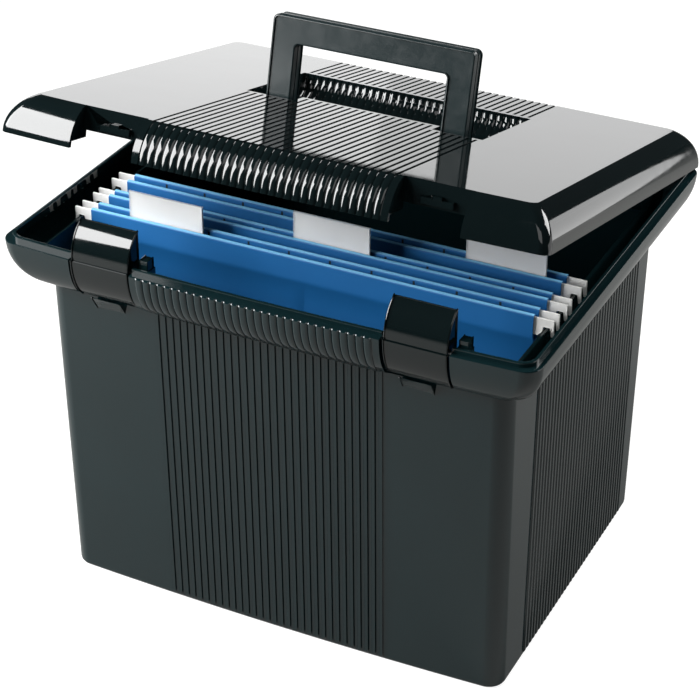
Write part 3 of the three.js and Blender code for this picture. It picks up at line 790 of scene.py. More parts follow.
@dataclass
class Finishes:
    """The finishes of the tote, each made once."""

    gloss: Material
    polish: Material
    satin: Material
    card: Material
    bar: Material
    vinyl: Material
    label: Material
    slot: Material
    steel: Material

    @classmethod
    def make(cls) -> "Finishes":
        """Builds every finish.

        Returns:
            The finishes.
        """
        return cls(
            gloss=MouldedPlastic("gloss_black_polystyrene", "#0b1b1d", "#0e2124", 0.05, 0.11).build(),
            # painted shade: a darker copy of the tub's gloss black plastic, for the lid and the latches
            polish=MouldedPlastic("polished_black_polystyrene", "#070f10", "#0a1314", 0.05, 0.11).build(),
            satin=MouldedPlastic("satin_black_polystyrene", "#0c191b", "#0f1f21", 0.3, 0.42,
                                 grain_height=0.01).build(),
            card=FolderCard().build(),
            bar=Coated("white_coated_strip", "#f2f2f0", "#e6e6e3", 0.38, 2.0, 0.004).build(),
            vinyl=ClearVinyl().build(),
            label=Coated("blank_index_card", "#f4f3f1", "#eae9e6", 0.7, 1.0, 0.01).build(),
            # painted shade: the dark inside of the tab slots
            slot=Coated("shadowed_tab_slot", "#04141f", "#061a28", 0.9, 1.0, 0.01).build(),
            steel=DrawnSteel().build(),
        )


# ---- Placing pieces -------------------------------------------------------------------------------------


@dataclass
class Drawing:
    """The drawing frame of the part within the row frame."""

    shift_y: float

    @classmethod
    def from_frame(cls, tub: "Tub") -> "Drawing":
        """Finds the drawing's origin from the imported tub's own box."""
        low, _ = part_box("tub")
        return cls(low.y / MM + tub.rim_depth / 2 + tub.bow + tub.rib_height)

    def matrix(self) -> Matrix:
        """From drawing millimetres to row metres."""
        return Matrix.Scale(MM, 4) @ Matrix.Translation((0, self.shift_y, 0))

    def place(self, obj: Solid, body: str, nodes: Sequence[str], slot: str,
              finish: Material, turn: Matrix | None = None,
              sharp: float = 28.0) -> Solid:
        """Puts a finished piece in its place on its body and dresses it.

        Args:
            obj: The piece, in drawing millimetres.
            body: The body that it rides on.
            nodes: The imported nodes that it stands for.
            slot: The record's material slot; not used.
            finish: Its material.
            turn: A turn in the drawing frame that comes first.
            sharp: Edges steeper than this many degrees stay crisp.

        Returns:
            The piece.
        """
        smooth(obj, sharp)
        obj.data.transform(self.matrix() @ (turn or Matrix.Identity(4)))
        obj.data.materials.clear()
        obj.data.materials.append(finish)
        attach(obj, body)
        if nodes:
            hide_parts(*nodes)
        log.info("%s rides on %s, %d faces", obj.name, body, len(obj.data.polygons))
        return obj


# ---- Tub ------------------------------------------------------------------------------------------------


@dataclass
class Tub:
    """The ribbed tub with its flared rim, lip, rails, latch seats and hinge ears."""

    base: Span = (308.0, 235.0)
    top: Span = (309.0, 248.0)
    top_z: float = 220.0
    rim_width: float = 353.0
    rim_depth: float = 286.0
    rim_z: float = 251.0
    bow: float = 5.0
    rib_height: float = 1.0
    wall: float = 2.5
    floor: float = 2.8
    foot: float = 3.0
    corner: float = 11.0
    ledge: float = 4.0
    lip: float = 2.2
    lip_height: float = 3.0
    front_ribs: int = 31
    side_ribs: int = 35
    side_middle: float = 8.5
    rail_x: float = 157.2
    rail: float = 2.4
    rail_z: float = 242.4
    rail_length: float = 242.0
    edge: float = 0.7
    flare_steps: int = 16
    hinge_y: float = 147.5
    hinge_z: float = 252.0
    hinge_x: float = 110.0
    barrel: float = 3.8
    hinge_pin: float = 1.6
    knuckle: float = 24.0
    ear: float = 8.0
    gap: float = 0.3
    shut: float = 0.4

    def plan(self) -> Plan:
        """The ribbed plan that the whole tub is raised from.

        Returns:
            The plan.
        """
        core = (self.base[0] / 2 - self.corner, self.base[1] / 2 - self.corner)
        return Plan(core, {Side.FRONT: RibRun(self.front_ribs), Side.REAR: RibRun(self.front_ribs),
                           Side.RIGHT: RibRun(self.side_ribs, self.side_middle),
                           Side.LEFT: RibRun(self.side_ribs, self.side_middle)})

    def rim_front(self, x: float) -> float:
        """Front edge of the rim at x."""
        return -self.rim_depth / 2 - float(self.plan().front_bow(x))

    def wall_front(self, x: float) -> float:
        """Front of the wall at x, where the flare starts."""
        return -self.top[1] / 2 - float(self.plan().front_bow(x))

    def flare(self, turn: float, thin: float = 0.0, proud: float = 0.0) -> Level:
        """A level of the rim flare, a quarter ellipse.

        Args:
            turn: Angle along the ellipse, 0 at the wall and a quarter turn at the rim.
            thin: Wall thickness to go in by.
            proud: Height of the front flutes.

        Returns:
            The level.
        """
        rise = self.rim_z - self.top_z - 2 * thin
        return Level(self.top_z + thin + rise * (1 - math.cos(turn)),
                     self.top[0] + (self.rim_width - self.top[0]) * math.sin(turn) - 2 * thin,
                     self.top[1] + (self.rim_depth - self.top[1]) * math.sin(turn) - 2 * thin,
                     self.corner - thin, (proud, 0, 0, 0), ridge=Ridge.ROUND)

    def outer_levels(self) -> list[Level]:
        """Levels from the floor up the outside to the rim edge.

        Returns:
            The levels, from the floor up.
        """
        levels = []
        for k in range(5):
            a = QUARTER * k / 4
            back = self.foot * (1 - math.sin(a))
            levels.append(Level(self.foot * (1 - math.cos(a)), self.base[0] - 2 * back,
                                self.base[1] - 2 * back, self.corner - back))
        ribs = (self.rib_height,) * 4
        low, high = self.foot + 1.2, self.top_z - 0.1
        for z in (low, high):
            share = (z - self.foot) / (self.top_z - self.foot)
            levels.append(Level(z, self.base[0] + (self.top[0] - self.base[0]) * share,
                                self.base[1] + (self.top[1] - self.base[1]) * share, self.corner, ribs))
        for k in range(1, self.flare_steps):
            levels.append(self.flare(QUARTER * k / self.flare_steps, proud=self.rib_height))
        return levels

    def rim_levels(self) -> list[Level]:
        """Levels over the rim edge, the ledge and the lip, down into the gutter and to the floor.

        Returns:
            The levels, in the order in which the shell runs.
        """
        def rim(z: float, back: float, proud: float = 0.0, radius: float | None = None) -> Level:
            """A level of the rim, back from its outer edge."""
            size = self.corner - back / 2 if radius is None else radius
            return Level(z, self.rim_width - 2 * back, self.rim_depth - 2 * back, size, (proud, 0, 0, 0),
                         ridge=Ridge.ROUND)
        top = self.rim_z + self.lip_height
        inner = self.ledge + self.lip
        edge = self.edge
        levels = [rim(self.rim_z - edge, 0, self.rib_height), rim(self.rim_z - edge * 0.3, edge * 0.3, 0.6),
                  rim(self.rim_z, edge, 0.2), rim(self.rim_z, edge + 0.8),
                  rim(self.rim_z, self.ledge), rim(top - edge, self.ledge),
                  rim(top - edge * 0.3, self.ledge + 0.2),
                  rim(top, self.ledge + edge), rim(top, inner - edge), rim(top - edge * 0.3, inner - 0.2),
                  rim(top - edge, inner), rim(self.rim_z - self.wall, inner)]
        for k in range(8, 0, -1):
            levels.append(self.flare(QUARTER * k / 8, thin=self.wall))
        inside = self.corner - self.wall
        wide, deep = (self.base[k] - 2 * self.wall for k in (0, 1))
        levels.append(Level(self.top_z + self.wall, self.top[0] - 2 * self.wall,
                            self.top[1] - 2 * self.wall, inside))
        for k in range(5):
            a = QUARTER * k / 4
            back = self.foot * (1 - math.cos(a))
            levels.append(Level(self.floor + self.foot * (1 - math.sin(a)), wide - 2 * back, deep - 2 * back,
                                inside - back))
        return levels

    def hinge_spans(self, x: float) -> tuple[Span, list[Span]]:
        """The knuckle's span and the two ears' spans of one hinge."""
        half = self.knuckle / 2
        return across(x, half), [(x - half - self.gap - self.ear, x - half - self.gap),
                                 (x + half + self.gap, x + half + self.gap + self.ear)]

    def add_hinge(self, shell: Solid, x: float) -> None:
        """Adds the ears of one hinge behind the rim.

        Args:
            shell: The shell that is changed.
            x: Middle of the hinge.
        """
        back = self.rim_depth / 2
        low = self.rim_z - self.shut
        arm = np.array([(back - self.ledge, low - 11.6), (back - 1.5, low - 11.6),
                        (self.hinge_y + self.barrel * 0.7, self.hinge_z - self.barrel * 0.7),
                        (self.hinge_y, low), (back - self.ledge, low)])
        for span in self.hinge_spans(x)[1]:
            combine(shell, prism("arm", arm, edge_stations(span, 0.5, 2), Axis.X), Join.ADD)
            combine(shell, rod("barrel", self.barrel, span, self.hinge_y, self.hinge_z), Join.ADD)
            bore = (span[0] - REACH, span[1] + REACH)
            combine(shell, rod("bore", self.hinge_pin + self.gap, bore, self.hinge_y, self.hinge_z), Join.CUT)

    def build(self, latches: Sequence["Latch"]) -> Solid:
        """Makes the tub in one closed shell.

        Args:
            latches: The latches that go into it.

        Returns:
            The solid.
        """
        plan = self.plan()
        outer = [plan.ring(level) for level in self.outer_levels()]
        shell = loft("tub_shell", outer + [plan.ring(level) for level in self.rim_levels()])
        for side in (-1, 1):
            rail = block("rail", across(side * self.rail_x, self.rail / 2), across(0, self.rail_length / 2),
                         (self.top_z + REACH, self.rail_z), 0.4)
            combine(shell, rail, Join.ADD)
            self.add_hinge(shell, side * self.hinge_x)
        for latch in latches:
            latch.seat(self, shell, outer)
        return shell

    def dress(self, shell: Solid, drawing: Drawing, finishes: Finishes) -> None:
        """Places the shell, and gives the pins that stay from the frame their steel.

        Args:
            shell: The shell that is changed.
            drawing: The part's drawing frame.
            finishes: The finishes to dress it in.
        """
        drawing.place(shell, "tub", ["tub"], "black_plastic", finishes.gloss)
        for name, node in frame["nodes"].items():
            if "_pin_" in name:
                node.data.materials.clear()
                node.data.materials.append(finishes.steel)


# ---- Latches --------------------------------------------------------------------------------------------


@dataclass
class Latch:
    """One snap latch and its seat in the rim."""

    name: str
    x: float
    pivot_y: float
    pivot_z: float = 247.0
    width: float = 40.0
    thick: float = 2.4
    side_gap: float = 1.5
    step: float = 1.2
    depth: float = 15.6
    pivot_in: float = 8.5
    foot_z: float = 222.5
    pin: float = 2.0
    hook_width: float = 20.0
    hook_height: float = 2.6
    hook_drop: float = 6.4
    hook_back: float = 1.0
    lug: Span = (6.0, 8.0)
    lug_top: float = 258.5
    stop_width: float = 20.6
    stop_shift: float = -5.0
    stop_foot: float = 208.0
    stop_stand_off: float = 6.0
    edge: float = 0.8

    @property
    def notch_half(self) -> float:
        """Half width of the notch that the latch stands in."""
        return self.width / 2 + self.side_gap

    def seat(self, tub: Tub, shell: Solid, outer: list[np.ndarray]) -> None:
        """Cuts the latch's notch into the rim and adds its webs, guide lug and stop tab.

        Args:
            tub: The tub's sizes.
            shell: The tub's shell, which is changed.
            outer: The rings of the tub's outside, which the webs are trimmed to.
        """
        front, back = tub.rim_front(0) - 3 * REACH, tub.wall_front(self.x) + tub.wall
        half = self.notch_half
        flare = [ring for ring in outer if ring[0, 2] > tub.top_z - 1]
        lid = flare[-1].copy()
        lid[:, 2] = tub.rim_z - tub.edge
        web = loft("web", [*flare, lid])
        combine(web, block("web_span", across(self.x, half + tub.lip), (front, back), (tub.top_z, tub.rim_z)),
                Join.KEEP)
        combine(shell, web, Join.ADD)
        combine(shell, block("notch", across(self.x, half), (front, -tub.base[1] / 2 + tub.wall),
                             (tub.top_z + REACH, self.lug_top + 3 * REACH)), Join.CUT)
        lug_x = self.x + half + tub.lip + tub.gap
        low = tub.rim_z - tub.wall - tub.ledge
        combine(shell, block("lug", (lug_x, lug_x + self.lug[0]),
                             (self.pivot_y - 1, self.pivot_y - 1 + self.lug[1]), (low, self.lug_top), 0.6),
                Join.ADD)
        combine(shell, block("lug_foot", (lug_x - tub.lip, lug_x + self.lug[0]),
                             (tub.rim_front(self.x) + tub.ledge, self.pivot_y + self.lug[1]),
                             (low, tub.rim_z)), Join.ADD)
        combine(shell, self.stop_tab(tub), Join.ADD)
        combine(shell, rod("pin_bore", self.pin + tub.gap, across(self.x, half + tub.lip + REACH),
                           self.pivot_y, self.pivot_z), Join.CUT)

    def stop_tab(self, tub: Tub) -> Solid:
        """The tab on the wall that the open latch rests on.

        Args:
            tub: The tub's sizes.

        Returns:
            The solid.
        """
        wall = tub.wall_front(self.x)
        share = self.stop_foot / tub.top_z
        foot = wall + (tub.top[1] - tub.base[1]) / 2 * (1 - share)
        face = wall - self.stop_stand_off
        top = self.foot_z - 2.5
        outline = rounded([(foot + 1, self.stop_foot, 0), (wall + 1, self.foot_z - 8, 0),
                           (face + 1.6, top, 0.5), (face, top, 0.5)], 3)
        return prism("stop_tab", outline,
                     edge_stations(across(self.x + self.stop_shift, self.stop_width / 2), 0.5), Axis.X)

    def skin(self, tub: Tub, lid: "Lid") -> list[Corner]:
        """The front of the plate in section, from its foot up over the step to its top.

        Args:
            tub: The tub's sizes.
            lid: The lid's sizes.

        Returns:
            The points, from the foot to the top.
        """
        front = self.pivot_y - self.pivot_in
        rise = tub.rim_z - tub.top_z
        foot = math.acos(1 - (self.foot_z - tub.top_z) / rise)
        swell = (tub.rim_depth - tub.top[1]) / 2
        steps = 12
        lower = []
        for k in range(steps + 1):
            t = foot + (QUARTER - foot) * k / steps
            lower.append((front + swell * (1 - math.sin(t)), tub.top_z + rise * (1 - math.cos(t)), 0.0))
        upper = []
        for k in range(steps + 1):
            up = (lid.height - 0.8) * math.sin(QUARTER * k / steps)
            upper.append((front + self.step + lid.roll_inset(up), tub.rim_z + up, 0.0))
        return lower + upper

    def build(self, tub: Tub, lid: "Lid") -> Solid:
        """Makes the latch: a curved plate between two cheeks, open behind, with its hook.

        Args:
            tub: The tub's sizes.
            lid: The lid's sizes.

        Returns:
            The solid.
        """
        skin = self.skin(tub, lid)
        front = self.pivot_y - self.pivot_in
        back = front + self.depth
        top_z = skin[-1][1]
        foot_y, foot_z = skin[0][0], skin[0][1]
        cheek = [*skin[:-1], (skin[-1][0], top_z, 0.0), (back, top_z, 0.0),
                 (back, self.pivot_z - self.pivot_in, 3.0), (foot_y + self.thick, foot_z, 0.8)]
        body = prism(f"snap_latch_{self.name}", rounded(cheek, 4)[::-1],
                     edge_stations(across(self.x, self.width / 2), self.edge), Axis.X)
        behind = back + self.thick + REACH
        high = top_z - self.pivot_z
        inner = []
        for y, z, _ in skin:
            above = max(0.0, z - self.pivot_z)
            inner.append((y + self.thick, z - above / high * self.thick))
        inner += [(behind, top_z - self.thick), (behind, self.pivot_z - 40),
                  (foot_y + self.thick, self.pivot_z - 40)]
        cavity = prism("cavity", np.array(inner), [(self.x - self.width / 2 + self.thick, 0.0),
                                                   (self.x + self.width / 2 - self.thick, 0.0)], Axis.X)
        combine(body, cavity, Join.CUT)
        hook_z = lid.top_z - self.hook_drop
        hook_y = front + self.step + lid.roll_inset(hook_z + self.hook_height - tub.rim_z) + self.thick / 2
        combine(body, block("hook", across(self.x, self.hook_width / 2), (hook_y, back - self.hook_back),
                            (hook_z, hook_z + self.hook_height), 0.4), Join.ADD)
        combine(body, rod("bore", self.pin + tub.gap, across(self.x, self.width / 2 + REACH), self.pivot_y,
                          self.pivot_z), Join.CUT)
        return body


# ---- Lid ------------------------------------------------------------------------------------------------


@dataclass
class Lid:
    """The lid as it lies closed: rolled edges, grooved band, latch notches, handle trough and knuckles."""

    tub: Tub
    open_degrees: float = 13.8
    height: float = 23.4
    back: float = 0.8
    wall: float = 2.4
    corner: float = 6.0
    roll_in: float = 16.0
    flute: float = 1.0
    groove_width: float = 2.0
    groove_depth: float = 0.9
    catch_width: float = 21.0
    catch_height: float = 4.5
    bump_width: float = 6.5
    bump_height: float = 1.4
    trough_width: float = 161.0
    trough_depth: float = 16.0
    trough_back: float = 74.0
    trough_front: float = -3.8
    pocket_front: float = 8.8
    pocket_inner: float = 47.0
    trough_flute: float = 0.9
    roll_steps: int = 14
    pivot_y: float = -0.8
    pivot_drop: float = 7.0
    handle_pin: float = 2.6

    @property
    def base_z(self) -> float:
        """Lower edge of the closed lid."""
        return self.tub.rim_z + self.tub.shut

    @property
    def top_z(self) -> float:
        """Top of the closed lid."""
        return self.base_z + self.height

    def opened(self) -> Matrix:
        """The turn about the hinge from closed to how the lid stands at rest.

        Returns:
            The matrix.
        """
        hinge = Vector((0, self.tub.hinge_y, self.tub.hinge_z))
        turn = Matrix.Rotation(-math.radians(self.open_degrees), 4, "X")
        return Matrix.Translation(hinge) @ turn @ Matrix.Translation(-hinge)

    def roll_inset(self, rise: float) -> float:
        """How far the rolled edge has come in at a rise above its lower edge."""
        radius = (self.roll_in ** 2 + self.height ** 2) / (2 * self.roll_in)
        return radius - math.sqrt(radius ** 2 - rise ** 2)

    def levels(self, thin: float = 0.0, cut: float = 0.0) -> list[Level]:
        """Levels of the roll, an arc that starts upright at the lower edge.

        Args:
            thin: Wall thickness to go in by.
            cut: Depth of the valleys between the front flutes.

        Returns:
            The levels from the lower edge to the top.
        """
        levels = []
        for k in range(self.roll_steps + 1):
            rise = (self.height - thin) * math.sin(QUARTER * k / self.roll_steps)
            back = 2 * (self.back + thin + self.roll_inset(rise))
            levels.append(Level(self.base_z + rise, self.tub.rim_width - back, self.tub.rim_depth - back,
                                self.corner - thin, cut=cut))
        return levels

    def plan(self) -> Plan:
        """The plan of the lid, with flutes along the middle of its front."""
        core = [size / 2 - self.back - self.corner for size in (self.tub.rim_width, self.tub.rim_depth)]
        return Plan((core[0], core[1]), {Side.FRONT: RibRun(self.tub.front_ribs)})

    def trough(self, grow: float, flute: float) -> Solid:
        """The hollow that the handle folds back into, with pockets round its legs.

        Args:
            grow: How much larger than the hollow itself, for the wall round it.
            flute: Height of the upright flutes on its curved rear wall.

        Returns:
            The solid.
        """
        top = self.top_z + (0 if grow else REACH)
        floor = self.top_z - self.trough_depth - grow
        back = self.pivot_y + self.trough_back + grow
        radius = self.trough_depth + grow
        half = self.trough_width / 2 + grow
        between = self.pivot_y - self.trough_front - grow
        pocket = self.pivot_y - self.pocket_front - grow
        steps = 14
        places = np.linspace(-half, half, 2 + round(2 * half / (0.5 if flute else 60)))
        rings = []
        for x in places:
            phase = (x / RIB_PITCH + 0.5) % 1 - 0.5
            bulge = flute * math.sqrt(max(0.0, 1 - (2 * phase) ** 2))
            front = pocket if abs(x) > self.pocket_inner - grow else between
            ring = [(x, front, floor)]
            for k in range(steps + 1):
                a = -QUARTER + QUARTER * k / steps
                near = radius - bulge
                ring.append((x, back - radius + near * math.cos(a), self.top_z + near * math.sin(a)))
            ring += [(x, back - bulge, top), (x, front, top)]
            rings.append(np.array(ring))
        ring_pairs = [rings[0]]
        for before, after in zip(rings, rings[1:]):
            if abs(before[0, 1] - after[0, 1]) > 1:
                inner = after if abs(after[0, 0]) < abs(before[0, 0]) else before
                edge = math.copysign(self.pocket_inner - grow, inner[0, 0])
                for source, nudge in ((before, -0.01), (after, 0.01)):
                    step = source.copy()
                    step[:, 0] = edge + nudge
                    ring_pairs.append(step)
            ring_pairs.append(after)
        return loft("trough", ring_pairs)

    def grooves(self) -> Solid:
        """The cutters of the band's grooves, in one object.

        Returns:
            The cutters.
        """
        count = self.tub.front_ribs + 1
        half, depth = self.groove_width / 2, self.groove_depth
        made: list[np.ndarray] = []
        faces: list[list[int]] = []
        for i in range(count):
            x = (i - (count - 1) / 2) * RIB_PITCH
            start = self.tub.rim_front(x) + self.roll_in - 2.5
            end = self.tub.rim_depth / 2 - self.roll_in / 2
            section = rounded([(x - half, self.top_z - depth, 0.5), (x + half, self.top_z - depth, 0.5),
                               (x + half, self.top_z + REACH, 0), (x - half, self.top_z + REACH, 0)], 3)
            first = sum(len(m) for m in made)
            count_points = len(section)
            for y in (start, end):
                made.append(np.column_stack([section[:, 0], np.full(count_points, y), section[:, 1]]))
            faces.append([first + k for k in range(count_points)])
            faces.append([first + count_points + k for k in reversed(range(count_points))])
            for k in range(count_points):
                n = (k + 1) % count_points
                faces.append([first + k, first + count_points + k, first + count_points + n, first + n])
        obj = make_object("grooves", np.concatenate(made), faces)
        face_outwards(obj)
        return obj

    def cut_notch(self, shell: Solid, plain: Solid, latch: Latch) -> None:
        """Cuts one latch notch, with end walls, a back wall and the catch that the hook goes over.

        Args:
            shell: The lid's shell, which is changed.
            plain: The lid's outside as a full solid, which is left as it is.
            latch: The latch that goes into the notch.
        """
        x, half = latch.x, latch.notch_half
        back = self.tub.rim_front(x) + self.back + self.roll_in + 1
        front = self.tub.rim_front(0) - self.tub.ledge
        ends = block("ends", across(x, half + 1.8), (front, back + self.wall),
                     (self.tub.rim_z + self.tub.lip_height + 1, self.top_z))
        copy = plain.copy()
        copy.data = plain.data.copy()
        bpy.context.scene.collection.objects.link(copy)
        combine(ends, copy, Join.KEEP)
        combine(shell, ends, Join.ADD)
        combine(shell, block("cut", across(x, half), (front, back), (self.base_z - 1, self.top_z + REACH)),
                Join.CUT)
        low = self.top_z - latch.hook_drop - self.catch_height - 4
        combine(shell, block("hollow", across(x, half), (back - 1, back + self.wall + 1),
                             (self.base_z - 1, low)), Join.CUT)
        top = self.top_z - latch.hook_drop - self.bump_height - 1
        near = self.tub.rim_front(x) + latch.depth - latch.hook_back + self.tub.shut
        combine(shell, block("catch", across(x, self.catch_width / 2), (near, back + 0.5),
                             (top - self.catch_height, top), 0.4), Join.ADD)
        combine(shell, block("bump", across(x, self.bump_width / 2), (near, back + 0.5),
                             (top - 1, top + self.bump_height), 0.3), Join.ADD)

    def add_knuckle(self, shell: Solid, x: float) -> None:
        """Adds one hinge knuckle behind the lid.

        Args:
            shell: The shell that is changed.
            x: Middle of the hinge.
        """
        tub = self.tub
        span = tub.hinge_spans(x)[0]
        near = tub.rim_depth / 2 - self.back
        leaf = np.array([(near - self.wall + 0.5, tub.hinge_z + 0.5), (tub.hinge_y, tub.hinge_z + 0.5),
                         (tub.hinge_y, tub.hinge_z + tub.barrel), (near - 1.5, tub.hinge_z + 8)])
        combine(shell, prism("leaf", leaf, [(span[0], 0.0), (span[1], 0.0)], Axis.X), Join.ADD)
        combine(shell, rod("barrel", tub.barrel, span, tub.hinge_y, tub.hinge_z), Join.ADD)
        combine(shell, rod("bore", tub.hinge_pin + tub.gap, (span[0] - REACH, span[1] + REACH), tub.hinge_y,
                           tub.hinge_z), Join.CUT)

    def build(self, latches: Sequence[Latch]) -> Solid:
        """Makes the lid in one closed shell, as it lies closed.

        Args:
            latches: The latches that go into it.

        Returns:
            The solid.
        """
        plan = self.plan()
        plain = loft("plain", [plan.ring(level) for level in self.levels()])
        shell = loft("lid_shell", [plan.ring(level) for level in self.levels(cut=self.flute)])
        inner = self.levels(thin=self.wall)
        first = Level(self.base_z - REACH, inner[0].width, inner[0].depth, inner[0].radius)
        combine(shell, loft("inside", [plan.ring(level) for level in [first, *inner]]), Join.CUT)
        combine(shell, self.grooves(), Join.CUT)
        combine(shell, self.trough(self.wall, 0.0), Join.ADD)
        combine(shell, self.trough(0.0, self.trough_flute), Join.CUT)
        bore = across(0, self.trough_width / 2 + self.wall + REACH)
        combine(shell, rod("bore", self.handle_pin + self.tub.gap, bore, self.pivot_y,
                           self.top_z - self.pivot_drop), Join.CUT)
        for latch in latches:
            self.cut_notch(shell, plain, latch)
        for side in (-1, 1):
            self.add_knuckle(shell, side * self.tub.hinge_x)
        bpy.data.objects.remove(plain)
        return shell


# ---- Handle ---------------------------------------------------------------------------------------------


@dataclass
class Handle:
    """The bail handle, upright on the closed lid."""

    lid: Lid
    width: float = 136.6
    leg: float = 17.0
    thick: float = 12.8
    height: float = 51.2
    grip: float = 17.0
    corner: float = 4.0
    inner: float = 2.5
    edge: float = 1.1
    groove: float = 0.7

    def build(self) -> Solid:
        """Makes the bail, with rounded edges and the parting groove round its rim.

        Returns:
            The solid.
        """
        pivot_z = self.lid.top_z - self.lid.pivot_drop
        top = pivot_z + self.height + self.lid.pivot_drop
        half, inner = self.width / 2, self.width / 2 - self.leg
        foot = pivot_z - self.thick / 2
        under = top - self.grip
        outline = rounded([(-half, foot, 0), (-inner, foot, 0), (-inner, under, self.inner),
                           (inner, under, self.inner), (inner, foot, 0), (half, foot, 0),
                           (half, top, self.corner), (-half, top, self.corner)], 8)
        y0, y1 = across(self.lid.pivot_y, self.thick / 2)
        middle = self.lid.pivot_y - self.thick / 8
        deep = self.groove
        ends = edge_stations((y0, y1), self.edge)
        parting = [(middle - deep, 0.0), (middle - deep * 0.6, deep), (middle + deep * 0.6, deep),
                   (middle + deep, 0.0)]
        stations = ends[:5] + parting + ends[5:]
        bail = prism("carry_handle", outline, stations, Axis.Y)
        side = [(y0, top + REACH, 0), (y0, pivot_z, 0)]
        turns = [math.pi + math.pi * k / 16 for k in range(1, 16)]
        side += [(self.lid.pivot_y + self.thick / 2 * math.cos(a), pivot_z + self.thick / 2 * math.sin(a), 0)
                 for a in turns]
        side += [(y1, pivot_z, 0), (y1, top + REACH, 0)]
        round_feet = prism("feet", rounded(side), [(-half - REACH, 0.0), (half + REACH, 0.0)], Axis.X)
        combine(bail, round_feet, Join.KEEP)
        combine(bail, rod("bore", self.lid.handle_pin + self.lid.tub.gap, across(0, half + REACH),
                          self.lid.pivot_y, pivot_z), Join.CUT)
        return bail


# ---- Folders --------------------------------------------------------------------------------------------


